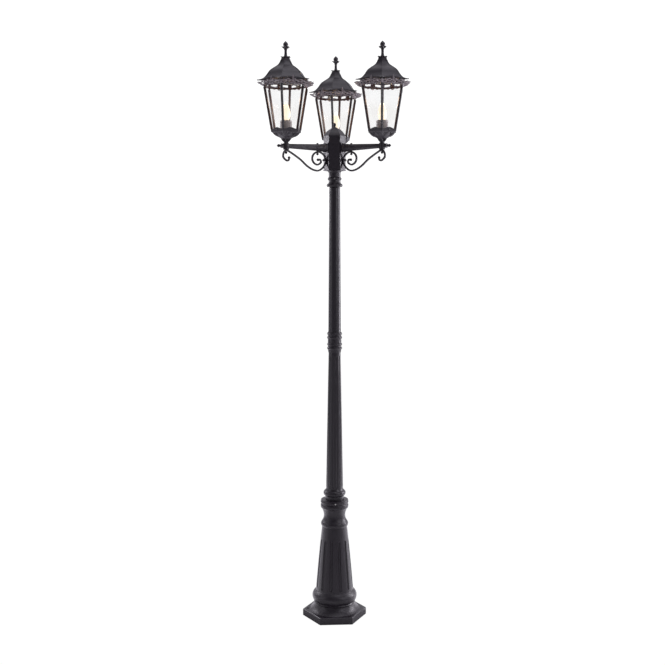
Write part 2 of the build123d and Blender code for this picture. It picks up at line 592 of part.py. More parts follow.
def make_scroll():
    """One bar from the outer curl over the arm's underside and down round to the inner curl."""
    low = ARM_Z - ARM_RISE                      # lowest turn, its underside just below the hub's foot
    hub_s = HUB_APOTHEM + BAR_T / 2
    screw_z = ARM_Z - HUB_SCREW_DROP
    curl_s = ARM_REACH - 8.5
    path = Spline(
        spot(curl_s - 4.5, BRACKET_Z - 27.5), spot(curl_s - 2, BRACKET_Z - 37),
        spot(curl_s + 8, BRACKET_Z - 38), spot(ARM_REACH + 13, BRACKET_Z - 24),
        spot(ARM_REACH + 9, BRACKET_Z - 6), spot(ARM_REACH, BRACKET_Z), spot(ARM_REACH - 14, BRACKET_Z - 3.5),
        spot(ARM_REACH - 60, BRACKET_Z - 31), spot(ARM_REACH - 91, BRACKET_Z - 56),
        spot(ARM_REACH - 117, low + 3), spot(ARM_REACH - 142, low - 0.5), spot(hub_s + 13, low + 11),
        spot(hub_s + 1.5, low + 28), spot(hub_s, screw_z), spot(hub_s + 5, BRACKET_Z - 15),
        spot(hub_s + 19, BRACKET_Z - 3.2), spot(STUD_REACH, BRACKET_Z), spot(STUD_REACH + 17, BRACKET_Z - 9),
        spot(STUD_REACH + 24, BRACKET_Z - 25), spot(STUD_REACH + 18, BRACKET_Z - 42),
        spot(STUD_REACH + 1, BRACKET_Z - 50.5), spot(STUD_REACH - 15, BRACKET_Z - 41),
        spot(STUD_REACH - 11, BRACKET_Z - 30), spot(STUD_REACH - 2, BRACKET_Z - 31))
    start = path @ 0
    section = Plane(origin=start, x_dir=(0, 1, 0), z_dir=path % 0) * Rectangle(BAR_W, BAR_T)
    bar = sweep(section, path=path)
    volute = Rot(90, 0, 0) * Cylinder(BAR_T * 0.72, BAR_W + 2)
    ends = Pos(path @ 0) * volute + Pos(path @ 1) * volute
    bar += ends
    half = BAR_T / 2
    seat = rod(STUD_PAD_R - 0.4, -half, half)
    spare = rod(STUD_PAD_R, half, BAR_T) + rod(STUD_PAD_R, -BAR_T, -half)
    screw_places = [Pos(reach, 0, BRACKET_Z) for reach in (ARM_REACH, STUD_REACH)]
    screw_places.append(Pos(hub_s, 0, screw_z) * Rot(0, -90, 0))
    for place in screw_places:
        bar += place * seat
        bar -= place * spare
        bar -= place * rod(SCREW_HOLE_R, -BAR_T, BAR_T)
    bar -= Pos(ARM_REACH, 0, 0) * rod(BOSS_R + 1, BOSS_FOOT, BOSS_FOOT + BAR_T)
    hub_side = Box(BAR_T, 2 * BAR_W, 60, align=(Align.MAX, Align.CENTER, Align.CENTER))
    return bar - Pos(HUB_APOTHEM, 0, screw_z) * hub_side


def make_lead():
    """Flexible lead from the terminal block along the arm and up into the lampholder."""
    corner = ARM_REACH - LEAD_BEND
    end = LANTERN_Z + HOLDER_FOOT + 14
    middle = (corner + LEAD_BEND * sin(radians(45)), ARM_Z + LEAD_BEND * (1 - cos(radians(45))))
    path = Wire([
        *line((BLOCK_APOTHEM, ARM_Z), (corner, ARM_Z)).edges(),
        *arc((corner, ARM_Z), middle, (ARM_REACH, ARM_Z + LEAD_BEND)).edges(),
        *line((ARM_REACH, ARM_Z + LEAD_BEND), (ARM_REACH, end)).edges()])
    section = Plane(origin=(BLOCK_APOTHEM, 0, ARM_Z), z_dir=(1, 0, 0)) * Circle(LEAD_R)
    return sweep(section, path=path)


def make_arms():
    arm = make_arm()
    tip = make_arm_tip()
    scroll = make_scroll()
    lead = make_lead()
    bracket, stud = make_arm_screws()
    groups = {"arm_tips": [], "bracket_screws": [], "arm_studs": [], "lamp_leads": []}
    for side, turn in ARM_TURNS.items():
        aim = Rot(0, 0, turn)
        keep(f"arm_{side}", aim * arm)
        keep(f"scroll_{side}", aim * scroll)
        groups["arm_tips"].append(aim * tip)
        groups["arm_studs"].append(aim * stud)
        groups["lamp_leads"].append(aim * lead)
        groups["bracket_screws"] += [aim * one for one in bracket]
    for name, solids in groups.items():
        keep(name, solids)


# ---------------------------------------------------------------- lantern, on the origin, corner on +X
def make_cup():
    rim = CAGE_FOOT + FIT + COLLAR_T
    step = rim * 0.54
    neck = CUP_NECK_R
    shell = six_sided(outline(
        line((0, 4), (neck, 4)),
        curve((neck, 4), (neck * 1.3, 9), (neck * 1.9, 15), (step - 4, CUP_STEP_H - 2)),
        line((step - 4, CUP_STEP_H - 2), (step, CUP_STEP_H)),
        curve((step, CUP_STEP_H), (step * 1.27, CUP_STEP_H + 6), (rim * 0.87, CUP_H - 7), (rim, CUP_H)),
        line((rim, CUP_H), (0, CUP_H), (0, 4))))
    foot = rod(CUP_NECK_R + 0.8, 0, 6)
    ledge = CAGE_FOOT - CAGE_WALL - 1
    floor_r = NUT_AF / 2 / FLAT + 1.5
    cavity = six_sided(outline(
        line((0, CUP_FLOOR_H), (floor_r, CUP_FLOOR_H), (step - CUP_WALL * 1.8, CUP_STEP_H + 1),
             (ledge, CUP_H), (ledge, CUP_H + 1), (0, CUP_H + 1), (0, CUP_FLOOR_H))))
    bore = rod(NIPPLE_R + FIT / 2, -1, CUP_FLOOR_H + 1)
    return shell + foot - cavity - bore + joined(gallery_sides())


def gallery_sides():
    """Scalloped rim that stands round the foot of the glass, one crest on each side."""
    inner = CAGE_FOOT + FIT
    plane = leaning(inner, CUP_H, LEAN)
    half = (inner + COLLAR_T) * HALF_SIDE + 2
    crest = GALLERY_CREST_H
    low = GALLERY_CORNER_H
    edge = [
        Line((-half, -3), (half, -3)), Line((half, -3), (half, low)),
        ThreePointArc((half, low), (half * 0.62, low + 1.2), (half * 0.44, low + 3)),
        ThreePointArc((half * 0.44, low + 3), (0, crest), (-half * 0.44, low + 3)),
        ThreePointArc((-half * 0.44, low + 3), (-half * 0.62, low + 1.2), (-half, low)),
        Line((-half, low), (-half, -3))]
    plate = extrude(plane * make_face(edge), COLLAR_T)
    wedge = side_wedge(CAGE_FOOT_R + 30, CUP_H - 10, CUP_H + crest + 10)
    return spun(plate & wedge, first=30)


def cage_side(height):
    """Distance across the flat of the cage's outside at a height."""
    return taper(CAGE_FOOT, CUP_H, CAGE_TOP, GLASS_TOP, height)


def pane_outline(foot, top, inset, shift=0.0):
    """Trapezoid on a side, with edges a set distance in from the corners."""
    low = (cage_side(foot) - shift) * HALF_SIDE - inset
    high = (cage_side(top) - shift) * HALF_SIDE - inset
    slope = cos(radians(LEAN))
    y0 = (foot - CUP_H) / slope
    y1 = (top - CUP_H) / slope
    return make_face(Polyline((-low, y0), (low, y0), (high, y1), (-high, y1), close=True))


def make_cage():
    inner = CAGE_WALL / cos(radians(LEAN))
    frame = six_sided(outline(line(
        (CAGE_FOOT - inner, CUP_H), (CAGE_FOOT, CUP_H), (CAGE_TOP, GLASS_TOP), (CAGE_TOP, CAGE_END),
        (CAGE_TOP - inner, CAGE_END), (CAGE_TOP - inner, GLASS_TOP), (CAGE_FOOT - inner, CUP_H))))
    opening = pane_outline(CUP_H + RAIL_H, GLASS_TOP - TOP_RAIL_H, POST_HALF)
    window = extrude(leaning(CAGE_FOOT, CUP_H, LEAN) * opening, 12, both=True)
    screw_hole = along_side(SIDE_HOLE_R, BRIDGE_SPAN - 1, CAGE_TOP + 1)
    frame -= spun(window + screw_hole, first=30) + spun(band_opening(1) + band_opening(-1), first=30)
    return frame + spun(corner_bead())


def corner_bead():
    """Rounded edge down one corner of the cage, from the cup's rim to the frieze."""
    heights = (CUP_H + GALLERY_CORNER_H + CAGE_BEAD_R / 2, GLASS_TOP - VALANCE_DROP - CAGE_BEAD_R / 4)
    foot, head = [Vector(taper(CAGE_FOOT_R, CUP_H, CAGE_TOP_R, GLASS_TOP, z), 0, z) for z in heights]
    return extrude(Plane(origin=foot, z_dir=head - foot) * Circle(CAGE_BEAD_R), (head - foot).length)


def band_opening(hand):
    """Opening in the band on one hand of a side's middle, behind the pierced frieze."""
    width = CAGE_TOP * HALF_SIDE - BAND_CORNER - BAND_TAB_HALF
    middle = BAND_TAB_HALF + width / 2
    opening = Box(4 * CAGE_WALL, width, RING_H - 2 * BAND_RAIL)
    return Pos(CAGE_TOP, hand * middle, GLASS_TOP + RING_H / 2) * opening


def make_glass():
    """Six panes that lie against the inside of the posts."""
    back = CAGE_WALL + 0.1
    plane = leaning(CAGE_FOOT, CUP_H, LEAN)
    sheet = plane * pane_outline(CUP_H + RAIL_H - GLASS_LAP, GLASS_TOP - TOP_RAIL_H + GLASS_LAP, 0.6,
                                 (back + GLASS_T) / cos(radians(LEAN)))
    pane = Pos(Vector(*plane.z_dir) * -(back + GLASS_T)) * extrude(sheet, GLASS_T)
    return spun(pane, first=30)


def frieze_plate():
    """Pierced plate that flares out from one side of the band, with horns at its corners."""
    inner = CAGE_TOP + FIT
    tilt = radians(FRIEZE_TILT)
    plane = Plane(origin=(inner, 0, GLASS_TOP - 1), x_dir=(0, 1, 0), z_dir=(sin(tilt), 0, -cos(tilt)))
    root = inner * HALF_SIDE
    horn = (inner + FRIEZE_HORN * cos(tilt)) * HALF_SIDE
    crest, shoulder = FRIEZE_CREST, FRIEZE_SHOULDER
    half = [
        Line((0, crest), (root * 0.15, crest * 0.76)),
        ThreePointArc((root * 0.15, crest * 0.76), (root * 0.27, crest * 0.64), (root * 0.42, crest * 0.72)),
        ThreePointArc((root * 0.42, crest * 0.72), (root * 0.60, shoulder), (root * 0.78, crest * 0.68)),
        ThreePointArc((root * 0.78, crest * 0.68), (root * 1.0, crest * 0.52), (horn, FRIEZE_HORN)),
        Line((horn, FRIEZE_HORN), (root, 0))]
    other = [mirror(edge, Plane.YZ) for edge in half]
    foot = [Line((root, 0), (-root, 0))]
    sheet = make_face(half + other + foot)
    for x, y, radius in ((0, 0.46, 4.6), (0.30, 0.36, 5.0), (0.60, 0.46, 6.0), (0.86, 0.30, 4.0)):
        for hand in ((1, -1) if x else (1,)):
            sheet -= Pos(hand * x * root, y * crest) * Circle(radius)
    return extrude(plane * sheet, -FRIEZE_T)


def frieze_valance():
    """Upright strip outside the band, with a screw tab above and three lobes hanging over the glass."""
    inner = CAGE_TOP + FIT
    half = (inner + COLLAR_T) * HALF_SIDE + 1
    drop = VALANCE_DROP
    plane = Plane(origin=(inner, 0, GLASS_TOP), x_dir=(0, 1, 0), z_dir=(1, 0, 0))
    strip = VALANCE_RISE
    tab = BAND_TAB_HALF
    tab_top = SIDE_SCREW_RISE + SIDE_HEAD_R + 2
    edge = [
        *Polyline((-half, strip), (-tab, strip), (-tab, tab_top), (tab, tab_top), (tab, strip), (half, strip),
                  (half, -1)).edges(),
        ThreePointArc((half, -1), (half * 0.78, 0.5), (half * 0.60, -1)),
        ThreePointArc((half * 0.60, -1), (half * 0.41, -drop * 0.66), (half * 0.22, -1)),
        ThreePointArc((half * 0.22, -1), (0, -drop), (-half * 0.22, -1)),
        ThreePointArc((-half * 0.22, -1), (-half * 0.41, -drop * 0.66), (-half * 0.60, -1)),
        ThreePointArc((-half * 0.60, -1), (-half * 0.78, 0.5), (-half, -1)),
        Line((-half, -1), (-half, strip))]
    return extrude(plane * make_face(edge), COLLAR_T)


def frieze_leaf():
    """Pointed leaf that stands up from the plate in front of the brim."""
    foot = LEAF_GAP * tan(radians(FRIEZE_TILT))
    plane = Plane(origin=(CAGE_TOP + FIT + LEAF_GAP + COLLAR_T, 0, GLASS_TOP - 1 + foot),
                  x_dir=(0, 1, 0), z_dir=(1, 0, 0))
    rise = LEAF_RISE
    right = [Line((0, 0), (3, 0)), ThreePointArc((3, 0), (6.2, rise * 0.5), (0, rise))]
    left = [mirror(edge, Plane.YZ) for edge in right]
    return extrude(plane * make_face(right + left), FRIEZE_T)


def make_frieze():
    wedge = side_wedge(160, CUP_H, CAGE_END + 60)
    side = (frieze_plate() + frieze_valance() + frieze_leaf()) & wedge
    side -= along_side(SIDE_HOLE_R, CAGE_TOP, CAGE_TOP + 10)
    band = hexagon_bar((CAGE_TOP + FIT) / FLAT, CUP_H, CAGE_END + 60)
    return joined(spun(side, first=30)) - band


def along_side(radius, start, end):
    return Pos(0, 0, SIDE_SCREW_Z) * Rot(0, 90, 0) * rod(radius, start, end)


def make_frieze_screw():
    """Screw through the frieze and the band, and on two sides into the bridge."""
    seat = CAGE_TOP + FIT + COLLAR_T
    head = along_side(SIDE_HEAD_R, seat, seat + SIDE_HEAD_H)
    return head + along_side(SIDE_SCREW_R, BRIDGE_SPAN - BRIDGE_T, seat + 0.5)


def roof_curve(shift_x=0.0, shift_z=0.0):
    """The bell-shaped side of the roof from its brim up to its neck, as shares of the way out and up."""
    bell = [(1, -0.022), (0.892, 0.013), (0.802, 0.044), (0.717, 0.094), (0.628, 0.194), (0.564, 0.283),
            (0.505, 0.383), (0.430, 0.472), (0.307, 0.572), (0.158, 0.678), (0.079, 0.767), (0.031, 0.856),
            (0, 0.956)]
    way = ROOF_SPREAD - ROOF_NECK
    return curve(*[(ROOF_NECK + way * out - shift_x, CAGE_END + ROOF_H * up - shift_z) for out, up in bell])


def make_roof():
    inner = roof_curve(ROOF_THIN_X, ROOF_THIN_Z)
    outer = roof_curve()
    top = ROOF_TOP
    section = outline(
        outer,
        line(end_of(outer), (ROOF_NECK, top), (0, top), (0, top - 8), (ROOF_NECK - ROOF_THIN_X, top - 8),
             end_of(inner)),
        inner,
        line(start_of(inner), start_of(outer)))
    seat = outline(line(
        (CAGE_TOP - CAGE_WALL, CAGE_END + ROOF_SEAT), (CAGE_TOP - 0.5, CAGE_END + ROOF_SEAT),
        (CAGE_TOP - 0.5, CAGE_END + 7), (CAGE_TOP - CAGE_WALL, CAGE_END + 7),
        (CAGE_TOP - CAGE_WALL, CAGE_END + ROOF_SEAT)))
    shell = six_sided(section) + six_sided(seat)
    edge = ROOF_SPREAD - ROOF_SCALLOP
    tip = ROOF_SPREAD * HALF_SIDE - 2
    centre = (ROOF_SPREAD ** 2 + tip ** 2 - edge ** 2) / (2 * ROOF_SCALLOP)
    scallop = Pos(centre, 0, 0) * rod(centre - edge, CAGE_END - 30, CAGE_END + 20)
    shell -= spun(scallop, first=30)
    return shell - rod(ROD_R + RUNNING, top - 20, top + 1)


def make_crown():
    foot = ROOF_TOP + FINIAL_SEAT
    top = CROWN_TOP
    body = turned(
        line((ROD_R + RUNNING, foot), (ROOF_NECK * 0.86, foot)),
        curve((ROOF_NECK * 0.86, foot), (ROOF_NECK * 0.9, foot + 2), (CROWN_R - 1, top - 3.5),
              (CROWN_R, top - 2)),
        line((CROWN_R, top - 2), (CROWN_R - 1, top - 0.6), (STEM_R + 4, top), (ROD_R + RUNNING, top),
             (ROD_R + RUNNING, foot)))
    notch = Pos(CROWN_R + 1, 0, 0) * rod(3.2, foot - 1, top + 1)
    return body - spun(notch, first=30)


def petal_collar(neck):
    """Thin dish round the head of the stem, cut into pointed petals that curl up."""
    edge = PETAL_R - 0.8
    dish = turned(
        line((0, neck - 3), (STEM_R, neck - 3)),
        curve((STEM_R, neck - 3), (PETAL_R * 0.6, neck), (PETAL_R, neck + PETAL_CURL - 1)),
        line((PETAL_R, neck + PETAL_CURL - 1), (edge, neck + PETAL_CURL)),
        curve((edge, neck + PETAL_CURL), (PETAL_R * 0.6, neck + 3), (STEM_R, neck + 1)),
        line((STEM_R, neck + 1), (0, neck + 1), (0, neck - 3)))
    notch_r = PETAL_R * sin(radians(180 / PETALS)) * 0.9
    notch = Pos(PETAL_R + 1, 0, 0) * rod(notch_r, neck - 4, neck + PETAL_CURL + 1)
    return dish - spun(notch, PETALS, 180 / PETALS)


def make_finial():
    foot = CROWN_TOP + FINIAL_SEAT
    neck = foot + STEM_H
    tip = neck + BUD_H
    body = turned(
        line((0, foot), (STEM_R + 3, foot)),
        curve((STEM_R + 3, foot), (STEM_R + 0.6, foot + 2.5), (STEM_R, foot + 6)),
        line((STEM_R, foot + 6), (STEM_R, neck)),
        curve((STEM_R, neck), (BUD_R * 0.82, neck + BUD_H * 0.3), (BUD_R, neck + BUD_H * 0.55),
              (BUD_R * 0.62, neck + BUD_H * 0.82), (0, tip)),
        line((0, tip), (0, foot)))
    body += petal_collar(neck)
    return body - rod(ROD_R + RUNNING, foot - 1, foot + ROD_GRIP + 2)


def make_bridge():
    """Bar across the band, with the upright rod that holds the roof down."""
    bar = Pos(0, 0, BRIDGE_Z) * Box(2 * BRIDGE_SPAN, BRIDGE_W, BRIDGE_T)
    tab = Box(BRIDGE_T, BRIDGE_W, BRIDGE_Z - GLASS_TOP - 1.5, align=(Align.MAX, Align.CENTER, Align.MAX))
    upright = rod(ROD_R, BRIDGE_Z, CROWN_TOP + ROD_GRIP)
    nut = hexagon_bar(6, BRIDGE_Z + BRIDGE_T / 2, BRIDGE_Z + BRIDGE_T / 2 + 5)
    body = bar + upright + nut + spun(Pos(BRIDGE_SPAN, 0, BRIDGE_Z) * tab, 2)
    body -= spun(along_side(SIDE_HOLE_R, BRIDGE_SPAN - 10, BRIDGE_SPAN + 1), 2)
    return Rot(0, 0, 30) * body


def make_nipple():
    top = HOLDER_FOOT + 8
    return rod(NIPPLE_R, -NIPPLE_GRIP, top) - rod(LEAD_R + FIT, -NIPPLE_GRIP - 1, top + 1)


def make_nipple_nut():
    nut = hexagon_bar(NUT_AF / 2 / FLAT, CUP_FLOOR_H, CUP_FLOOR_H + NUT_H)
    return nut - rod(NIPPLE_R + FIT / 2, CUP_FLOOR_H - 1, CUP_FLOOR_H + NUT_H + 1)


def make_lampholder():
    floor = CAP_FOOT - 0.1
    r = HOLDER_R
    bore = NIPPLE_R + FIT / 2
    return turned(
        line((bore, HOLDER_FOOT), (r - 8, HOLDER_FOOT), (r - 2, HOLDER_FOOT + 5), (r, HOLDER_FOOT + 12),
             (r, HOLDER_TOP - 14), (r - 1, HOLDER_TOP - 13), (r - 1, HOLDER_TOP - 11), (r, HOLDER_TOP - 10),
             (r, HOLDER_TOP - 2), (r - 2, HOLDER_TOP), (HOLDER_BORE_R, HOLDER_TOP), (HOLDER_BORE_R, floor),
             (bore, floor), (bore, HOLDER_FOOT)))


def bulb_side(wall):
    foot = HOLDER_TOP + 1
    height = BULB_H - wall
    return curve((BULB_CAP_R - 1.6 - wall, foot), (BULB_R * 0.92 - wall, foot + height * 0.17),
                 (BULB_R - wall, foot + height * 0.34), (BULB_R * 0.72 - wall, foot + height * 0.68),
                 (BULB_R * 0.26 - wall * 0.5, foot + height * 0.93), (0, foot + height))


def make_bulb():
    outer, inner = bulb_side(0), bulb_side(BULB_WALL)
    return turned(
        outer,
        line(end_of(outer), end_of(inner)),
        inner,
        line(start_of(inner), start_of(outer)))


def make_bulb_cap():
    """Screw shell with rounded threads, and the contact button under it."""
    top = HOLDER_TOP + 1
    foot = CAP_FOOT + 5
    groove = BULB_CAP_R - 1.2
    turns = 6
    pitch = (top - 6 - foot) / turns
    threads = []
    for k in range(turns):
        z = foot + k * pitch
        threads.append(arc((groove, z), (BULB_CAP_R, z + pitch / 2), (groove, z + pitch)))
    return turned(
        line((0, CAP_FOOT), (4.5, CAP_FOOT), (5, CAP_FOOT + 2), (groove, foot)),
        *threads,
        line((groove, top - 6), (BULB_CAP_R - 0.6, top - 4), (BULB_CAP_R - 0.6, top), (0, top),
             (0, CAP_FOOT)))


def make_lanterns():
    pieces = {
        "cup": make_cup(), "cage": make_cage(), "glass": make_glass(), "frieze": make_frieze(),
        "roof": make_roof(), "crown": make_crown(), "finial": make_finial(), "bridge": make_bridge(),
        "nipple": make_nipple(), "lampholder": make_lampholder(), "bulb": make_bulb(),
        "bulb_cap": make_bulb_cap(),
    }
    fasteners = {
        "frieze_screws": spun(make_frieze_screw(), first=30),
        "nipple_nuts": [make_nipple_nut()],
    }
    groups = {name: [] for name in fasteners}
    for side, turn in ARM_TURNS.items():
        place = Rot(0, 0, turn) * Pos(ARM_REACH, 0, LANTERN_Z) * Rot(0, 0, LANTERN_YAW[side])
        for name, piece in pieces.items():
            solids = piece if isinstance(piece, list) else [piece]
            keep(f"{name}_{side}", [place * one for one in solids])
        for name, solids in fasteners.items():
            groups[name] += [place * one for one in solids]
    for name, solids in groups.items():
        keep(name, solids)


make_base()
make_lower_shaft()
make_joint_sleeve()
make_upper_shaft()
make_neck()
make_hub()
make_arms()
make_lanterns()

for name, solids in nodes.items():
    export_step(Compound(solids) if len(solids) > 1 else solids[0], f"parts/{name}.step")
print(len(nodes), "nodes,", sum(len(solids) for solids in nodes.values()), "solids")
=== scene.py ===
# %% [markdown]
# # Triple head lamp post
#
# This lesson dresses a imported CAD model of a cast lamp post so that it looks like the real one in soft
# studio light. The real post is made of aluminium castings and tubes under a satin charcoal powder coat.
# Three arms carry six-sided lanterns with clear panes, lit from inside by warm candle bulbs.
#
# The CAD model is loaded first and stays the frame for everything: all pieces are in metres, in its axes,
# and each new piece rides on one of its bodies. The back arm points along +Y and the camera stands in
# front, looking along +Y.

# %% Load the frame
from math import atan2, cos, degrees, pi, radians, sin, tan

import bmesh
import bpy
from mathutils import Matrix, Vector


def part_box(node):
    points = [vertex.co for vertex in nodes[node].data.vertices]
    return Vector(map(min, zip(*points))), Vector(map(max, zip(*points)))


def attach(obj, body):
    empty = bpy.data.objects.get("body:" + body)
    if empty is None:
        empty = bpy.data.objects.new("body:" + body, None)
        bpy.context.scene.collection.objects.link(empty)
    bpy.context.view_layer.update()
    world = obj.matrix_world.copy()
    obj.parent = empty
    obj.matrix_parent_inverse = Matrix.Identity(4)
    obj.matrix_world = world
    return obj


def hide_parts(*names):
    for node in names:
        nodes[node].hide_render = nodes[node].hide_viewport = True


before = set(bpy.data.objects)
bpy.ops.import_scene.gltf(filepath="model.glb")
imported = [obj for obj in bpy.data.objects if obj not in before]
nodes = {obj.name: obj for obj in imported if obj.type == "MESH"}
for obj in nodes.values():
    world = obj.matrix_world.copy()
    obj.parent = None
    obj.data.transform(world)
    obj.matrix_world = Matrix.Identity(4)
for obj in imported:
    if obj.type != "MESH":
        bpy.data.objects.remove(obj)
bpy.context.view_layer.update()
MM = 0.001
SIDES = {"back": 90.0, "left": 210.0, "right": 330.0}     # the way each arm points, in degrees from +X

# %% [markdown]
# ## Places read from the frame
#
# Every lantern stands on the end of its arm, and each is turned a little about its own axis, as lanterns
# are that were set by hand. The axis comes from the lampholder, which is round, so the middle of its box is
# the axis. The foot comes from the nipple's box and the turn from the cage's corners. The lantern's own
# pieces are drawn further down for a lantern of a round size, and stretched here to the one in the frame.

# %% Lantern places
def middle(name):
    low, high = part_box(name)
    return (low + high) / 2


def far_corner(name, axis):
    """The way from an axis to the furthest corner of the upper edge of a six-sided node."""
    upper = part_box(name)[1].z - MM
    far = max((v for v in nodes[name].data.vertices if v.co.z > upper),
              key=lambda v: (v.co.xy - axis.xy).length)
    return far.co.xy - axis.xy


LANTERN_SIDES = 6
SIDE_ANGLE = 360.0 / LANTERN_SIDES
FLAT = cos(radians(30))         # distance of a side when the corners lie at distance one
HALF_SIDE = tan(radians(30))    # half a side's length when the sides lie at distance one
CAGE_CORNER = 92.0              # mm from the axis to a corner of the cage's top, as drawn below
DRAWN_WIDE = CAGE_CORNER * MM
DRAWN_TALL = 405.0 * MM         # cup's foot to the tip of the finial, as drawn below
NIPPLE_BELOW = 5.0 * MM         # how far the nipple reaches below the cup's foot
FLAME_HEIGHT = 0.128            # middle of the flame above the cup's foot
LANTERNS = {}
for side in SIDES:
    axis = middle(f"lampholder_{side}")
    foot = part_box(f"nipple_{side}")[0].z + NIPPLE_BELOW
    corner = far_corner(f"cage_{side}", axis)
    wide = corner.length / DRAWN_WIDE
    tall = (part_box(f"finial_{side}")[1].z - foot) / DRAWN_TALL
    spin = atan2(corner.y, corner.x) % radians(SIDE_ANGLE)
    LANTERNS[side] = (Matrix.Translation((axis.x, axis.y, foot)) @ Matrix.Rotation(spin, 4, "Z")
                      @ Matrix.Diagonal((wide, wide, tall, 1)))
    print(side, [round(c, 4) for c in (*LANTERNS[side].translation, degrees(spin), wide, tall)])

# %% [markdown]
# ## Camera
#
# The photograph looks down at the post from two thirds of its height and from four metres, so the top of the
# plinth shows and verticals lean a little outwards towards the top. A lens of 53 mm on a full frame fits the
# post in the picture. The camera is turned 1.4 degrees against the arms, as in the photograph.

# %% Camera
CAMERA_TURN = 1.4               # degrees round the post
CAMERA_DISTANCE = 3.98
CAMERA_HEIGHT = 1.593
CAMERA_TILT = 5.71              # degrees below the level
CAMERA_LENS = 52.8
FILM_WIDTH = 36.0
CAMERA_OFFSET = -0.0086

look = Matrix.Rotation(radians(CAMERA_TURN), 4, "Z")
camera_data = bpy.data.cameras.new("camera")
camera_data.lens = CAMERA_LENS
camera_data.sensor_width = FILM_WIDTH
camera_data.clip_start = 0.05
camera_data.clip_end = 100.0
camera = bpy.data.objects.new("camera", camera_data)
camera.location = look @ Vector((CAMERA_OFFSET, -CAMERA_DISTANCE, CAMERA_HEIGHT))
camera.rotation_euler = (radians(90 - CAMERA_TILT), 0, radians(CAMERA_TURN))
bpy.context.scene.collection.objects.link(camera)
bpy.context.scene.camera = camera
print("camera at", [round(c, 3) for c in camera.location])

# %% [markdown]
# ## A small language for materials
#
# Each material is a node tree. So that its sums can be read, one small class wraps a socket and turns the
# ordinary signs into maths nodes. One method adds any other node.

# %% Material sums
MIX_DARK, MIX_LIGHT, MIX_COLOUR = 6, 7, 2      # where a mix node has its two colours and its result


class Shade:
    """One socket of a shader tree. Sums written with it add the nodes that work them out."""

    def __init__(self, tree, socket):
        self.tree = tree
        self.socket = socket

    def feed(self, place, value):
        if isinstance(value, Shade):
            self.tree.links.new(value.socket, place)
        else:
            place.default_value = value

    def add(self, kind, output=0, settings=(), **inputs):
        """Any node: settings are its own options, inputs are named by socket, with _ for a space."""
        node = self.tree.nodes.new(kind)
        for option, value in dict(settings).items():
            setattr(node, option, value)
        for name, value in inputs.items():
            self.feed(node.inputs[name.replace("_", " ")], value)
        return Shade(self.tree, node.outputs[output])

    def sum(self, operation, first, second):
        node = self.tree.nodes.new("ShaderNodeMath")
        node.operation = operation
        self.feed(node.inputs[0], first)
        self.feed(node.inputs[1], second)
        return Shade(self.tree, node.outputs[0])

    def __add__(self, other):
        return self.sum("ADD", self, other)

    def __sub__(self, other):
        return self.sum("SUBTRACT", self, other)

    def __mul__(self, other):
        return self.sum("MULTIPLY", self, other)

    def __truediv__(self, other):
        return self.sum("DIVIDE", self, other)

    def __radd__(self, other):
        return self.sum("ADD", other, self)

    def __rsub__(self, other):
        return self.sum("SUBTRACT", other, self)

    def clamp(self, low=0.0, high=1.0):
        return self.sum("MINIMUM", self.sum("MAXIMUM", self, low), high)

    def blend(self, dark, light):
        """Colour between two, by this value."""
        node = self.tree.nodes.new("ShaderNodeMix")
        node.data_type = "RGBA"
        self.feed(node.inputs["Factor"], self)
        self.feed(node.inputs[MIX_DARK], dark)
        self.feed(node.inputs[MIX_LIGHT], light)
        return Shade(self.tree, node.outputs[MIX_COLOUR])


def rgb(red, green, blue):
    """Linear colour from screen values of 0 to 255, by the standard screen curve."""
    return tuple((v / 255 / 12.92) if v < 10.3 else ((v / 255 + 0.055) / 1.055) ** 2.4
                 for v in (red, green, blue)) + (1.0,)


def toned(colour, share):
    """A colour made darker or lighter by a share of itself."""
    return tuple(c * share for c in colour[:3]) + (1.0,)


def material(name, **fixed):
    """A new material, its shader and a place to start sums from (the object's own coordinates)."""
    made = bpy.data.materials.new(name)
    made.use_nodes = True
    tree = made.node_tree
    shader = tree.nodes["Principled BSDF"]
    for socket, value in fixed.items():
        shader.inputs[socket.replace("_", " ")].default_value = value
    start = Shade(tree, tree.nodes.new("ShaderNodeTexCoord").outputs["Object"])
    return made, shader, start


def send(value, shader, name):
    """Links a sum to one of the shader's inputs."""
    value.tree.links.new(value.socket, shader.inputs[name])


print("rgb(128, 128, 128) is", [round(c, 3) for c in rgb(128, 128, 128)])

# %% [markdown]
# ## Powder coat
#
# The castings carry a satin charcoal powder coat with a faint violet cast. Close up it is finely sandy, over
# the gentle waves of a sand casting and a slow change of tone where the coat is thicker. Castings are made
# rougher and the drawn tubes smoother by the same function. Near the flame the bars of a cage get a painted
# coppery glow, an emission that stands for their bulb's light. The thin pierced friezes are paler and more
# uneven: that is painted sheen, the light that their many edges catch.

# %% Powder coat
GLOW_REACH = 0.16               # metres from a flame at which the painted glow on a cage's bars ends
GRAZING = 0.25                  # share of the painted glow left on what stands edge on to a flame
CLOUD_SCALE = 22.0
PEEL_SCALE = 170.0
SPECK_SHARE = 0.55              # scale of the specks as a share of the grain's
COAT_DEPTH = 0.0008             # metres that the bump stands for
BLACK = (0.0, 0.0, 0.0, 1.0)


def vector_sum(operation, first, second=(0.0, 0.0, 0.0), output=0):
    """Vector maths on a place or direction; output 1 is the value of a length or a dot product."""
    found = first.add("ShaderNodeVectorMath", output, {"operation": operation})
    first.feed(found.socket.node.inputs[0], first)
    first.feed(found.socket.node.inputs[1], second)
    return found


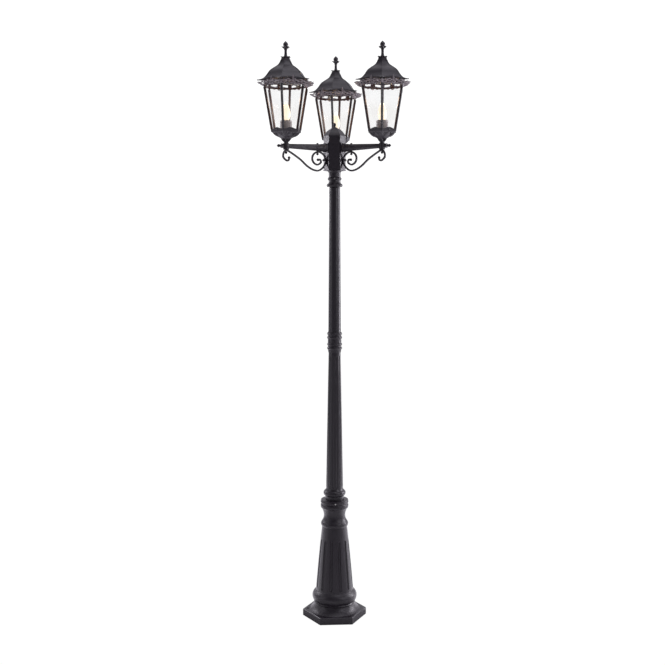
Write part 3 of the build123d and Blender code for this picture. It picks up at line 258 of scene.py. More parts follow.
def flame_halo(place, reach, facing=False):
    """Mask for the painted glow round the bulbs: one at the nearest bulb and nothing beyond a reach, with
    facing most on what is turned to it.
    """
    normal = place.add("ShaderNodeNewGeometry", "Normal")
    halo = None
    for lantern in LANTERNS.values():
        away = vector_sum("SUBTRACT", place, lantern @ Vector((0, 0, FLAME_HEIGHT)))
        near = (1.0 - vector_sum("LENGTH", away, output=1) / reach).clamp()
        if facing:
            turned_away = vector_sum("DOT_PRODUCT", vector_sum("NORMALIZE", away), normal, 1)
            near = near * (GRAZING - turned_away).clamp()
        halo = near.sum("MAXIMUM", halo, near) if halo else near
    return halo


def powder_coat(name, tone, grain, rough, sand=0.35, glow=None, spread=0.29):
    """A coat of one tone; grain is the scale of its sand and spread how far the tone wanders."""
    made, shader, place = material(name, Metallic=0.0, IOR=1.5)
    # painted light: a coppery emission on the sides of the bars that face a bulb stands for its light
    if glow:
        halo = flame_halo(place, GLOW_REACH, facing=True)
        shader.inputs["Emission Strength"].default_value = 1.0
        send(halo.blend(BLACK, glow), shader, "Emission Color")
    cloud = place.add("ShaderNodeTexNoise", Vector=place, Scale=CLOUD_SCALE, Detail=4.0, Roughness=0.6)
    peel = place.add("ShaderNodeTexNoise", Vector=place, Scale=PEEL_SCALE, Detail=3.0, Roughness=0.5)
    dust = place.add("ShaderNodeTexNoise", Vector=place, Scale=grain, Detail=2.0, Roughness=0.55)
    speck = place.add("ShaderNodeTexVoronoi", Vector=place, Scale=grain * SPECK_SHARE)
    tone_share = (cloud * 0.4 + peel * 0.4 + dust * 0.2 + (peel - 0.5) * 0.8).clamp()
    shader.inputs["Base Color"].default_value = tone
    send(tone_share.blend(toned(tone, 1 - spread), toned(tone, 1 + spread)), shader, "Base Color")
    send(rough + (peel - 0.5) * 0.3 + (dust - 0.5) * 0.12, shader, "Roughness")
    height = peel * 1.4 + dust * 0.5 + speck * 0.25
    send(place.add("ShaderNodeBump", Height=height, Strength=sand, Distance=COAT_DEPTH), shader, "Normal")
    return made


CAST = powder_coat("powder_coat_cast", rgb(30, 25, 33), 900.0, 0.40)
TUBE = powder_coat("powder_coat_tube", rgb(30, 26, 33), 1300.0, 0.36, 0.12)
ROOF = powder_coat("powder_coat_roof", rgb(30, 25, 34), 900.0, 0.38)
# the cage's coppery glow near each flame is painted light and not a colour of the coat
CAGE = powder_coat("powder_coat_cage", rgb(27, 22, 28), 900.0, 0.40, glow=(0.16, 0.062, 0.030, 1.0))
# painted sheen: the pale, widely spread tone stands for light caught on the frieze's many edges
FRIEZE_PAINTED_SHEEN = powder_coat("powder_coat_frieze", rgb(112, 104, 108), 900.0, 0.36, spread=0.75)
print("coats:", *[coat.name for coat in (CAST, TUBE, ROOF, CAGE, FRIEZE_PAINTED_SHEEN)])

# %% [markdown]
# ## Metal, glass and the lamp
#
# Screws are plated steel. The panes are clear float glass, a little dusty. Near the bulb they carry a painted
# warm glow that stands for the lamp's light in the glass: their alpha and this glow rise with the nearness to
# the flame. A pane is a thin see-through coat and not real glass, because light would find its way through
# two layers of real glass only slowly. The bulb is a small frosted candle that glows warm.

# %% Metal, glass and lamp
def plated(name, colour, rough):
    made, shader, place = material(name, Metallic=1.0)
    scratch = place.add("ShaderNodeTexNoise", Vector=place, Scale=400.0, Detail=3.0)
    send(rough + (scratch - 0.5) * 0.2, shader, "Roughness")
    send(scratch.blend(colour, toned(colour, 0.8)), shader, "Base Color")
    return made


STEEL = plated("plated_steel", rgb(200, 200, 196), 0.3)
DULL_STEEL = plated("dull_steel", rgb(150, 148, 140), 0.45)
BRASS = plated("cap_brass", rgb(205, 190, 140), 0.3)


def moulded(name, colour, rough):
    made, shader, place = material(name)
    haze = place.add("ShaderNodeTexNoise", Vector=place, Scale=120.0, Detail=3.0)
    send(rough + (haze - 0.5) * 0.15, shader, "Roughness")
    send(haze.blend(toned(colour, 0.9), colour), shader, "Base Color")
    return made


HOLDER = moulded("lampholder_plastic", rgb(168, 160, 154), 0.4)
BLOCK = moulded("terminal_plastic", rgb(215, 210, 196), 0.5)
LEAD = moulded("lead_rubber", rgb(90, 56, 34), 0.55)

PANE_REACH = 0.085              # metres from a flame at which the painted glow on a pane ends
PANE_TINT = (0.05, 0.07, 0.12, 1.0)
PANE_PAINTED_GLOW = (1.0, 0.88, 0.70, 1.0)
PANE, pane_shader, pane_place = material("clear_pane", Base_Color=PANE_TINT, IOR=1.5, Emission_Strength=1.0)
smear = pane_place.add("ShaderNodeTexNoise", Vector=pane_place, Scale=14.0, Detail=5.0)
# painted light: a warm glow and denser alpha on the panes round each bulb stand for its light
halo = flame_halo(pane_place, PANE_REACH)
send(0.02 + smear * 0.05, pane_shader, "Roughness")
send(0.03 + smear * 0.04 + halo * halo * 0.4, pane_shader, "Alpha")
send(halo.blend(BLACK, PANE_PAINTED_GLOW), pane_shader, "Emission Color")

BULB_WHITE = (1.0, 0.93, 0.8, 1.0)
BULB_GLOW = (1.0, 0.84, 0.60, 1.0)
BULB = material("bulb_glass", Base_Color=BULB_WHITE, Roughness=0.3, Emission_Color=BULB_GLOW,
                Emission_Strength=0.9)[0]
print("metals and lamp made")

# %% [markdown]
# ## Drawing in millimetres
#
# The new pieces are drawn in millimetres, a lantern's pieces in the lantern's own frame with a corner on +X,
# and are put in place with one matrix. A side of a lantern is drawn once, facing +X, and a small Geometry
# Nodes tree repeats it round the axis, as the foundry's pattern repeats it.

# %% Pieces and the tree that repeats a side
def keep_piece(name, mesh, body, coat, place=Matrix(), stands_for=()):
    """A mesh drawn in millimetres becomes a piece that rides on a body."""
    mesh.transform(place @ Matrix.Scale(MM, 4))
    mesh.materials.clear()
    mesh.materials.append(coat)
    mesh.polygons.foreach_set("material_index", [0] * len(mesh.polygons))
    piece = bpy.data.objects.new(name, mesh)
    bpy.context.scene.collection.objects.link(piece)
    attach(piece, body)
    if stands_for:
        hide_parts(*stands_for)


def new_tree(name, **inputs):
    """A Geometry Nodes tree with a geometry in and out and named inputs for its sizes and coat."""
    tree = bpy.data.node_groups.new(name, "GeometryNodeTree")
    tree.interface.new_socket("Geometry", in_out="INPUT", socket_type="NodeSocketGeometry")
    for title, kind in inputs.items():
        tree.interface.new_socket(title.replace("_", " "), in_out="INPUT", socket_type=kind)
    tree.interface.new_socket("Geometry", in_out="OUTPUT", socket_type="NodeSocketGeometry")
    return tree, tree.nodes.new("NodeGroupInput"), tree.nodes.new("NodeGroupOutput")


def joined_node(tree, kind, settings=(), **links):
    """A node with its own options set, and each named input linked to a socket or given a value."""
    node = tree.nodes.new(kind)
    for option, value in dict(settings).items():
        setattr(node, option, value)
    for name, value in links.items():
        socket = node.inputs[name.replace("_", " ")]
        if hasattr(value, "is_output"):
            tree.links.new(value, socket)
        else:
            socket.default_value = value
    return node


def run_tree(mesh, tree, **values):
    """Passes a mesh through a tree and returns the plain mesh that comes out."""
    carrier = bpy.data.objects.new("carrier", mesh)
    bpy.context.scene.collection.objects.link(carrier)
    modifier = carrier.modifiers.new("tree", "NODES")
    modifier.node_group = tree
    for item in tree.interface.items_tree:
        if item.in_out == "INPUT" and item.name.replace(" ", "_") in values:
            modifier[item.identifier] = values[item.name.replace(" ", "_")]
    bpy.context.view_layer.update()
    graph = bpy.context.evaluated_depsgraph_get()
    made = bpy.data.meshes.new_from_object(carrier.evaluated_get(graph))
    carrier.modifiers.clear()
    bpy.data.objects.remove(carrier)
    return made


ROUND, round_in, round_out = new_tree(
    "repeat_round_axis", Count="NodeSocketInt", First="NodeSocketFloat", Coat="NodeSocketMaterial")
points = joined_node(ROUND, "GeometryNodeMeshLine", Count=round_in.outputs["Count"], Offset=(0, 0, 0))
index = ROUND.nodes.new("GeometryNodeInputIndex")
share = joined_node(ROUND, "ShaderNodeMath", {"operation": "DIVIDE"})
ROUND.links.new(index.outputs[0], share.inputs[0])
ROUND.links.new(round_in.outputs["Count"], share.inputs[1])
turn = joined_node(ROUND, "ShaderNodeMath", {"operation": "MULTIPLY_ADD"})
ROUND.links.new(share.outputs[0], turn.inputs[0])
turn.inputs[1].default_value = 2 * pi
ROUND.links.new(round_in.outputs["First"], turn.inputs[2])
spin = joined_node(ROUND, "ShaderNodeCombineXYZ", Z=turn.outputs[0])
copies = joined_node(ROUND, "GeometryNodeInstanceOnPoints", Points=points.outputs[0],
                     Instance=round_in.outputs["Geometry"], Rotation=spin.outputs[0])
solid = joined_node(ROUND, "GeometryNodeRealizeInstances", Geometry=copies.outputs[0])
coated = joined_node(ROUND, "GeometryNodeSetMaterial", Geometry=solid.outputs[0],
                     Material=round_in.outputs["Coat"])
ROUND.links.new(coated.outputs[0], round_out.inputs[0])


def round_axis(mesh, first=SIDE_ANGLE / 2, coat=CAST):
    """Repeats a mesh on every side of a lantern, or on every corner when the first copy isn't turned."""
    return run_tree(mesh, ROUND, Count=LANTERN_SIDES, First=radians(first), Coat=coat)


def smooth_through(points, steps):
    """Points in a plane on a smooth line through the given ones (a Catmull-Rom line)."""
    line = [Vector((*p, 0)) for p in points]
    count = len(line)
    found = []
    for k in range(count - 1):
        b, c = line[k], line[k + 1]
        a = line[k - 1] if k else b * 2 - c
        d = line[k + 2] if k + 2 < count else c * 2 - b
        for s in range(steps):
            t = s / steps
            found.append(0.5 * ((2 * b) + (c - a) * t + (2 * a - 5 * b + 4 * c - d) * t * t
                                + (3 * b - a - 3 * c + d) * t ** 3))
    return found + [line[-1]]


def mesh_of(name, verts, faces):
    made = bpy.data.meshes.new(name)
    made.from_pydata([tuple(v) for v in verts], [], faces)
    made.update()
    made.shade_smooth()
    return made


def grid_faces(columns, rows):
    """Faces of a sheet whose points are counted along its columns, row after row."""
    return [(row * columns + k, row * columns + k + 1, (row + 1) * columns + k + 1, (row + 1) * columns + k)
            for row in range(rows - 1) for k in range(columns - 1)]


def merged(name, meshes):
    """One mesh from several."""
    work = bmesh.new()
    for one in meshes:
        work.from_mesh(one)
    made = bpy.data.meshes.new(name)
    work.to_mesh(made)
    work.free()
    return made


def sharpened(mesh, angle=40.0):
    """Smooth shading with edges above the angle kept sharp."""
    work = bmesh.new()
    work.from_mesh(mesh)
    bmesh.ops.recalc_face_normals(work, faces=work.faces)
    for face in work.faces:
        face.smooth = True
    for edge in work.edges:
        edge.smooth = len(edge.link_faces) == 2 and edge.calc_face_angle(0) < radians(angle)
    work.to_mesh(mesh)
    work.free()
    return mesh


print("tree", ROUND.name, "with", len(ROUND.nodes), "nodes")

# %% [markdown]
# ## Pierced and pressed sheet shapes
#
# Ornament that was cast flat, such as the pierced frieze, is drawn as the foundry would cut its pattern: a
# closed outline with holes, given a thickness and a rounded edge. Blender's flat curves do that directly,
# inner outlines become holes and the bevel rounds every edge.

# %% Flat ornament from outlines
SAME_POINT = 0.01               # points nearer than this in mm are one


def ornament(outlines, thick, round_edge):
    """A pierced plate from closed outlines in the XY plane, its middle on Z 0."""
    data = bpy.data.curves.new("ornament", "CURVE")
    data.dimensions = "2D"
    data.fill_mode = "BOTH"
    data.extrude = thick / 2 - round_edge
    data.bevel_depth = round_edge
    data.bevel_resolution = 2
    data.offset = -round_edge
    for outline in outlines:
        spline = data.splines.new("POLY")
        spline.points.add(len(outline) - 1)
        for place, point in zip(spline.points, outline):
            place.co = (point[0], point[1], 0, 1)
        spline.use_cyclic_u = True
    carrier = bpy.data.objects.new("carrier", data)
    bpy.context.scene.collection.objects.link(carrier)
    bpy.context.view_layer.update()
    graph = bpy.context.evaluated_depsgraph_get()
    made = bpy.data.meshes.new_from_object(carrier.evaluated_get(graph))
    bpy.data.objects.remove(carrier)
    work = bmesh.new()
    work.from_mesh(made)
    bmesh.ops.remove_doubles(work, verts=work.verts, dist=SAME_POINT)
    work.to_mesh(made)
    work.free()
    return made


def both_hands(right_half):
    """A closed outline from its right half, which starts and ends on the middle line."""
    left = [(-x, y) for x, y in reversed(right_half) if x > SAME_POINT]
    return list(right_half) + left


def oval(x, y, radius, stretch=1.0, tilt=0.0, count=16):
    """An oval hole."""
    found = []
    for k in range(count):
        a = 2 * pi * k / count
        along, over = radius * cos(a) * stretch, radius * sin(a)
        found.append((x + along * cos(tilt) - over * sin(tilt), y + along * sin(tilt) + over * cos(tilt)))
    return found


def oval_pair(x, y, radius, stretch=1.0, tilt=0.0):
    """An oval hole and its mirror image."""
    return [oval(x * hand, y, radius, stretch, tilt * hand) for hand in (1, -1)]


LEAF_ACROSS = [-1, -0.62, -0.25, 0, 0.25, 0.62, 1]      # where points lie across a leaf's half width
LEAF_ROWS = 21
LEAF_SUNK = 0.8                 # how deep a leaf's underside sits in what it lies on
LEAF_EDGE = 0.05                # how far its edge stands out


def leaf(length, width, rise, lobes):
    """A cast leaf along +Y from the origin, with a hollow midrib, notched edges and its crown up."""
    verts = []
    for row in range(LEAF_ROWS):
        t = row / (LEAF_ROWS - 1)
        notch = 1 - 0.16 * (0.5 + 0.5 * cos(2 * pi * lobes * t + pi))
        half = max(width / 2 * sin(pi * t ** 0.72) ** 0.8 * notch, LEAF_EDGE)
        swell = rise * sin(pi * min(1, t * 1.1)) ** 0.6
        for s in LEAF_ACROSS:
            midrib = 0.72 + 0.28 * min(1, abs(s) * 4)
            crown = max(swell * (1 - s * s) * midrib, 0)
            verts.append((half * s, length * (t - 0.03 * abs(s)), crown + LEAF_EDGE))
    columns = len(LEAF_ACROSS)
    faces = grid_faces(columns, LEAF_ROWS)
    under = len(verts)
    rim = [row * columns for row in range(LEAF_ROWS)]
    rim += [row * columns + columns - 1 for row in range(LEAF_ROWS - 1, -1, -1)]
    verts += [(verts[v][0], verts[v][1], -LEAF_SUNK) for v in rim]
    for k, v in enumerate(rim):
        after = (k + 1) % len(rim)
        faces.append((rim[after], v, under + k, under + after))
    faces.append([under + k for k in range(len(rim))][::-1])
    return sharpened(mesh_of("leaf", verts, faces))


def laid_on(mesh, profile, shift=(0.0, 0.0)):
    """Bends a flat piece up a profile of distance from the axis and height."""
    line = smooth_through(profile, 6)
    run = [0.0]
    for p, q in zip(line, line[1:]):
        run.append(run[-1] + (q - p).length)
    for vertex in mesh.vertices:
        across, along, rise = vertex.co.x + shift[0], vertex.co.y + shift[1], vertex.co.z
        along = min(max(along, 0.0), run[-1])
        k = max(i for i in range(len(line) - 1) if run[i] <= along)
        ahead = line[k + 1] - line[k]
        spot = line[k] + ahead * ((along - run[k]) / ahead.length)
        ahead.normalize()
        vertex.co = (spot.x + ahead.y * rise, across, spot.y - ahead.x * rise)
    return mesh


print("leaf with", len(leaf(20, 10, 2, 3).polygons), "faces")

# %% [markdown]
# ## Roofs
#
# Each roof is a thin six-sided bell. Its sides sweep out to the brim, which is cut back in a shallow arc on
# every side and runs out in a point at each corner. The side is a grid between the neck and the brim's edge,
# so that the surface stays smooth up to the arc. A rounded rib runs down each corner, a bead goes round the
# brim and a fine line inside it, as on the casting.

# %% Roof
CAGE_FLAT = CAGE_CORNER * FLAT
EAVE = 246.0                    # height of the brim above the cup's foot
BELL = [(103.9, -2.0), (94.5, 1.2), (86.6, 4.0), (79.2, 8.5), (71.4, 17.5), (65.8, 25.5), (60.6, 34.5),
        (54.1, 42.5), (43.3, 51.5), (30.3, 61.0), (23.4, 69.0), (19.4, 77.0), (16.9, 86.0), (16.5, 90.0)]
BRIM_CUT = 19.6                 # how deep the arc cuts into the brim
POINT_START = 0.86              # share of half a side's width from which the brim rises to its point
POINT_RISE = 1.6
SHELL_THICK = 1.8
BEAD_RADIUS = 1.5
LINE_RADIUS = 0.9
LINE_IN = 5.5                   # from the brim's edge to the fine line
RIB_STEP = 2.9                  # between two points of a corner's rib


def bell_height(apothem):
    """Height of the bell's surface above the eave at a distance from the axis."""
    line = smooth_through(BELL, 6)
    for p, q in zip(line, line[1:]):
        if q.x <= apothem <= p.x:
            return p.y + (q.y - p.y) * (p.x - apothem) / max(p.x - q.x, 1e-6)
    return line[0].y if apothem > line[0].x else line[-1].y


def brim_reach(share):
    """Distance from the axis to the brim's edge, for a share of half the side's width."""
    return BELL[0][0] - BRIM_CUT * (1 - share * share) ** 0.75


def brim_rise(share):
    """How much the brim rises towards its point, for a share of half the side's width."""
    return POINT_RISE * max(0, (share - POINT_START) / (1 - POINT_START)) ** 2


def roof_side(across=28, along=44):
    neck = BELL[-1][0]
    verts = []
    for i in range(along + 1):
        t = (i / along) ** 1.15
        for k in range(across + 1):
            u = 2 * k / across - 1
            apothem = brim_reach(abs(u)) * (1 - t) + neck * t
            lift = brim_rise(abs(u)) * (1 - t) ** 6
            verts.append((apothem, apothem * HALF_SIDE * u, EAVE + bell_height(apothem) + lift))
    return mesh_of("roof_side", verts, grid_faces(across + 1, along + 1))


def tube_along(points, radius, sides=8):
    """A round bar along points, closed at its ends."""
    verts, faces = [], []
    count = len(points)
    for k, p in enumerate(points):
        ahead = (points[min(k + 1, count - 1)] - points[max(k - 1, 0)]).normalized()
        side_way = ahead.cross(Vector((0, 0, 1))).normalized()
        up = side_way.cross(ahead)
        for s in range(sides):
            a = 2 * pi * s / sides
            verts.append(p + (side_way * cos(a) + up * sin(a)) * radius)
    for k in range(count - 1):
        for s in range(sides):
            a, b = k * sides + s, k * sides + (s + 1) % sides
            faces.append((a, b, b + sides, a + sides))
    faces.append(list(range(sides))[::-1])
    faces.append([(count - 1) * sides + s for s in range(sides)])
    return mesh_of("tube", verts, faces)


def solidified(mesh, thick):
    """The same sheet with a thickness on its inner side."""
    work = bmesh.new()
    work.from_mesh(mesh)
    bmesh.ops.remove_doubles(work, verts=work.verts, dist=SAME_POINT)
    bmesh.ops.recalc_face_normals(work, faces=work.faces)
    outwards = sum(f.normal.dot(f.calc_center_median()) for f in work.faces)
    if outwards < 0:
        bmesh.ops.reverse_faces(work, faces=work.faces)
    bmesh.ops.solidify(work, geom=work.faces[:], thickness=thick)
    made = bpy.data.meshes.new("solid")
    work.to_mesh(made)
    work.free()
    return made


def edge_point(u):
    """Where the brim's edge is, for a share of half the side's width from -1 to 1."""
    reach = brim_reach(abs(u))
    return Vector((reach, reach * HALF_SIDE * u, EAVE + bell_height(reach) + brim_rise(abs(u)) - 0.6))


def roof_mesh():
    shell = sharpened(solidified(round_axis(roof_side(), coat=ROOF), SHELL_THICK), 28)
    apothems = [BELL[0][0] - 2 - k * RIB_STEP for k in range(30)]
    corner = [Vector(((a + 0.4) / FLAT, 0, EAVE + bell_height(a) - 0.5)) for a in apothems]
    edge = [edge_point(k / 20 - 1) for k in range(41)]
    inner = [Vector((p.x - LINE_IN, p.y * (p.x - LINE_IN) / p.x, EAVE + bell_height(p.x - LINE_IN) + 0.3))
             for p in edge]
    rib = round_axis(tube_along(corner, BEAD_RADIUS), first=0.0, coat=ROOF)
    bead = round_axis(tube_along(edge, BEAD_RADIUS), coat=ROOF)
    line = round_axis(tube_along(inner, LINE_RADIUS), coat=ROOF)
    return merged("roof", [shell, rib, bead, line])


roof = roof_mesh()
for side, place in LANTERNS.items():
    keep_piece(f"roof_shell_{side}", roof.copy(), f"roof_part_{side}", ROOF, place, [f"roof_{side}"])
print("roof faces", len(roof.polygons))

# %% [markdown]
# ## Friezes
#
# Under each roof a pierced frieze stands off the cage, so open that the white background shines through it.
# Each side is a plate that flares out, with a point in the middle, a lobe on each side of it and a long horn
# at each corner, pierced with oval holes. Three small lobes hang from its foot in front of the glass and a
# pointed leaf stands in its middle.

# %% Frieze
GLASS_HEAD = 228.0              # top of the glass above the cup's foot
FRIEZE_FOOT = CAGE_FLAT + 0.2   # its plates stand just clear of the cage
FLARE = 23.0                    # degrees that a plate leans up from the level
PLATE_THICK = 2.4
HORN_OUT = 24.0                 # reach of the horns and of the middle point along the plate
CREST = 36.5
PLATE_HOLES = [(11.5, 13.0, 4.6, 1.75, -1.05), (25.5, 21.8, 4.9, 1.3, 0.1), (25.5, 8.6, 4.4, 1.75, 0.25),
               (41.0, 11.0, 4.6, 1.5, -0.55), (50.5, 17.2, 1.8, 1.6, 0.7)]
LOBES = [(0.86, -2.4), (0.74, 0.4), (0.62, -0.6), (0.54, -3.2), (0.44, -4.9), (0.34, -3.6), (0.25, -0.8),
         (0.17, -2.0), (0.09, -6.2)]      # the hanging lobes, by shares of half the side


def frieze_plate_side():
    root = FRIEZE_FOOT * HALF_SIDE
    horn = (FRIEZE_FOOT + HORN_OUT * cos(radians(FLARE))) * HALF_SIDE
    edge = smooth_through([
        (3.2, 31.0), (6.0, 27.2), (10.0, 24.0), (14.5, 23.6), (18.0, 26.0), (21.5, 29.6), (26.0, 31.2),
        (30.5, 30.4), (34.0, 27.0), (37.0, 24.6), (41.5, 22.6), (46.0, 20.0), (50.5, 20.4), (55.0, 22.6),
        (horn - 0.6, HORN_OUT - 0.2)], 4)
    right = [(0.0, CREST)] + [(p.x, p.y) for p in edge] + [(horn - 0.3, HORN_OUT), (root, 0.3), (0.0, 0.3)]
    holes = [oval(0, 21.5, 3.2, 1.7, pi / 2), oval(0, 9.5, 3.8)]
    for hole in PLATE_HOLES:
        holes += oval_pair(*hole)
    plate = ornament([both_hands(right)] + holes, PLATE_THICK, 0.7)
    slope = radians(FLARE)
    plate.transform(Matrix(((0, cos(slope), -sin(slope), FRIEZE_FOOT), (1, 0, 0, 0),
                            (0, sin(slope), cos(slope), GLASS_HEAD - 1 + PLATE_THICK / 2), (0, 0, 0, 1))))
    return plate


def frieze_valance_side():
    half = (FRIEZE_FOOT + 2.6) * HALF_SIDE
    low = smooth_through([(half - 0.3, -1.0)] + [(half * share, y) for share, y in LOBES] + [(0.0, -7.4)], 4)
    right = [(0.0, 11.2), (8.6, 11.2), (9.0, 10.8), (9.0, 2.6), (half - 0.3, 2.6)]
    right += [(p.x, p.y) for p in low]
    holes = oval_pair(half * 0.44, -1.0, 1.5, 1.4) + [oval(0, -2.6, 1.5, 1.3, pi / 2)]
    plate = ornament([both_hands(right)] + holes, PLATE_THICK, 0.6)
    plate.transform(Matrix(((0, 0, 1, FRIEZE_FOOT + 1.25), (1, 0, 0, 0),
                            (0, 1, 0, GLASS_HEAD), (0, 0, 0, 1))))
    return plate


def frieze_leaf_side():
    foot = FRIEZE_FOOT + 6.0
    stands = [(foot, GLASS_HEAD + 2.5), (foot + 1.0, GLASS_HEAD + 18), (foot, GLASS_HEAD + 34)]
    return laid_on(leaf(31.0, 12.0, 2.0, 3), stands)


side_parts = [frieze_plate_side(), frieze_valance_side(), frieze_leaf_side()]
frieze = sharpened(round_axis(merged("frieze_side", side_parts)), 40)
for side, place in LANTERNS.items():
    keep_piece(f"frieze_ring_{side}", frieze.copy(), "post", FRIEZE_PAINTED_SHEEN, place, [f"frieze_{side}"])
print("frieze faces", len(frieze.polygons))

# %% [markdown]
# ## Finials and crowns
#
# The neck of each roof ends in a small crown with six upturned points. The finial that holds the roof down
# is a plain stem with a thin collar of six pointed petals under an acorn bud. All are turned shapes, and on
# crown and collar the radius and height change with the angle.

# %% Finial and crown
def turned_mesh(profile, count, shape=None):
    """Turns a profile of radius and height round the axis; shape(angle, k) changes radius and height."""
    verts, faces = [], []
    for j in range(count):
        a = 2 * pi * j / count
        for k, (r, z) in enumerate(profile):
            stretch, lift = shape(a, k) if shape else (1.0, 0.0)
            verts.append((r * stretch * cos(a), r * stretch * sin(a), z + lift))
    rows = len(profile)
    for j in range(count):
        n = (j + 1) % count
        for k in range(rows - 1):
            faces.append((j * rows + k, n * rows + k, n * rows + k + 1, j * rows + k + 1))
    faces.append([j * rows for j in range(count)][::-1])
    faces.append([j * rows + rows - 1 for j in range(count)])
    return sharpened(mesh_of("turned", verts, faces))


CROWN_FOOT = 336.0
STEM_HEAD = 375.0               # top of the stem, where the collar and the bud sit
CROWN_PROFILE = [(3.5, 0.1), (14.2, 0.1), (15.0, 2), (18.2, 3.8), (18.4, 5.6), (14.0, 6.8), (9.0, 8)]
CROWN_WIDER = (0, 0, 0.08, 0.22, 0.26, 0.16, 0)         # how much each of these gives to the six points
CROWN_HIGHER = (0, 0, 0.2, 0.9, 1.0, 0.4, 0)
STEM_PROFILE = [(0.3, -30.9), (8.6, -30.9), (7.2, -28.5), (5.9, -25), (5.4, -17), (5.5, -6), (6.8, -3),
                (5.6, 0), (7.0, 4.5), (8.4, 8.5), (10.1, 13), (10.5, 16.5), (9.2, 21), (6.2, 25), (3.0, 28),
                (0.8, 30)]
PETAL_PROFILE = [(3.0, -2), (10.5, 1.0), (18.0, 6.0), (17.4, 6.9), (10.5, 3.6), (3.0, 2)]
PETAL_SHARE = (0, 0.3, 1, 1, 0.3, 0)


def raised(profile, level):
    return [(r, z + level) for r, z in profile]


def crown_shape(angle, k):
    """Six upturned points."""
    point = abs(cos(3 * angle)) ** 3
    return 1.0 + CROWN_WIDER[k] * (point - 0.35), 2.4 * point * CROWN_HIGHER[k]


def petal_shape(angle, k):
    """Six narrow petals."""
    point = (1 - abs(sin(3 * angle))) ** 0.8
    return 1.0 - 0.45 * PETAL_SHARE[k] * (1 - point), 1.2 * PETAL_SHARE[k] * point


crown = turned_mesh(raised(CROWN_PROFILE, CROWN_FOOT), 72, crown_shape)
stem = turned_mesh(raised(STEM_PROFILE, STEM_HEAD), 40)
petals = turned_mesh(raised(PETAL_PROFILE, STEM_HEAD), 120, petal_shape)
finial = merged("finial", [stem, petals])
for side, place in LANTERNS.items():
    keep_piece(f"crown_star_{side}", crown.copy(), f"roof_part_{side}", ROOF, place,
               [f"crown_{side}"])
    keep_piece(f"finial_bud_{side}", finial.copy(), f"finial_part_{side}", CAST, place,
               [f"finial_{side}"])
print("crown faces", len(crown.polygons), "finial faces", len(finial.polygons))

# %% [markdown]
# ## Relief on the cups
#
# The cup under each cage is cast with rounded ribs on its lower cone, acanthus leaves on the slope above it
# and a small leaf on every crest of the rim round the glass. The leaves are bent along the slope of the CAD
# cup, so they lie on it. The tree that repeats a side sets them round the axis.

# %% Cup relief
CUP_CORNER = 60.0               # axis to a corner of the glass's foot
CUP_RIM = CUP_CORNER * FLAT + 2.8
CUP_STEP = CUP_RIM * 0.54       # where the cone ends and the slope starts
CONE = [(8.8, 5.0), (11.2, 9.0), (16.2, 15.0), (CUP_STEP - 3.6, 22.6)]
SLOPE = [(CUP_STEP + 0.2, 25.2), (CUP_STEP * 1.27, 31.0), (CUP_RIM * 0.87, 39.0), (CUP_RIM, 45.8)]
RIM_FOOT = 46.0
RIM_UP = [(CUP_RIM - 0.4, RIM_FOOT), (CUP_RIM + 0.7, 51.5), (CUP_RIM + 1.5, 57.5)]
RIM_EDGE = [(-31.0, 5.0), (-21.0, 6.0), (-14.0, 8.4), (0, 12.0), (14.0, 8.4), (21.0, 6.0), (31.0, 5.0)]
RIM_LEAN, RIM_STAND = 0.152, 0.99      # how far the rim goes out and up for each millimetre along it
CORNER_SPREAD = 1 / FLAT
CONE_RIB = (16.5, 5.6, 1.9, 0)         # a leaf without lobes is a rounded rib


def at_corner(profile):
    return [(r * CORNER_SPREAD, z) for r, z in profile]


def rim_bead():
    """Rounded edge of the rim: low at the corners and rising to a crest in the middle."""
    edge = [Vector((CUP_RIM - 1.2 + p.y * RIM_LEAN, p.x, RIM_FOOT + p.y * RIM_STAND))
            for p in smooth_through(RIM_EDGE, 5)]
    return tube_along(edge, BEAD_RADIUS)


cup_side = [laid_on(leaf(30.0, 25.0, 2.6, 4), SLOPE), laid_on(leaf(*CONE_RIB), CONE), rim_bead(),
            laid_on(leaf(10.5, 8.0, 1.6, 2), RIM_UP)]
cup_side += [laid_on(leaf(19.0, 9.0, 2.0, 2), SLOPE, (13.0 * hand, 9.0)) for hand in (1, -1)]
cup_corner = [laid_on(leaf(29.0, 10.0, 2.4, 3), at_corner(SLOPE)), laid_on(leaf(*CONE_RIB), at_corner(CONE))]
cup_relief = merged("cup_relief", [round_axis(merged("side", cup_side)),
                                   round_axis(merged("corner", cup_corner), first=0)])
for side, place in LANTERNS.items():
    keep_piece(f"cup_relief_{side}", cup_relief.copy(), "post", CAST, place)
print("cup relief faces", len(cup_relief.polygons))

# %% [markdown]
# ## Scroll brackets
#
# Under each arm a flat bar is bent into two scrolls: a small curl under the lantern, and a long sweep down
# to the hub and up again into a larger curl under the arm. It was forged from one bar with rounded edges, and
# both ends are rolled round a button. The path is drawn flat from the places that the frame gives, then a
# tree sets the bar's section along it and the buttons on its ends.

# %% Scroll brackets
BAR_WIDE = 9.0
BAR_THICK = 7.0
BAR_EDGE = 2.2
BUTTON_RADIUS = 5.6
scroll_low, scroll_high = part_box("scroll_right")
SEAT_LEVEL = scroll_high.z / MM - BAR_THICK / 2         # the bar's middle line where it touches the arm
LOW_LEVEL = scroll_low.z / MM + BAR_THICK / 2           # and at the lowest turn of the sweep
ARM_LONG = middle("lampholder_right").xy.length / MM
STUD_OUT = 78.0                                         # from the post's axis to the bar's seat at the stud
HUB_OUT = 42.0                                          # and to the bar beside the hub


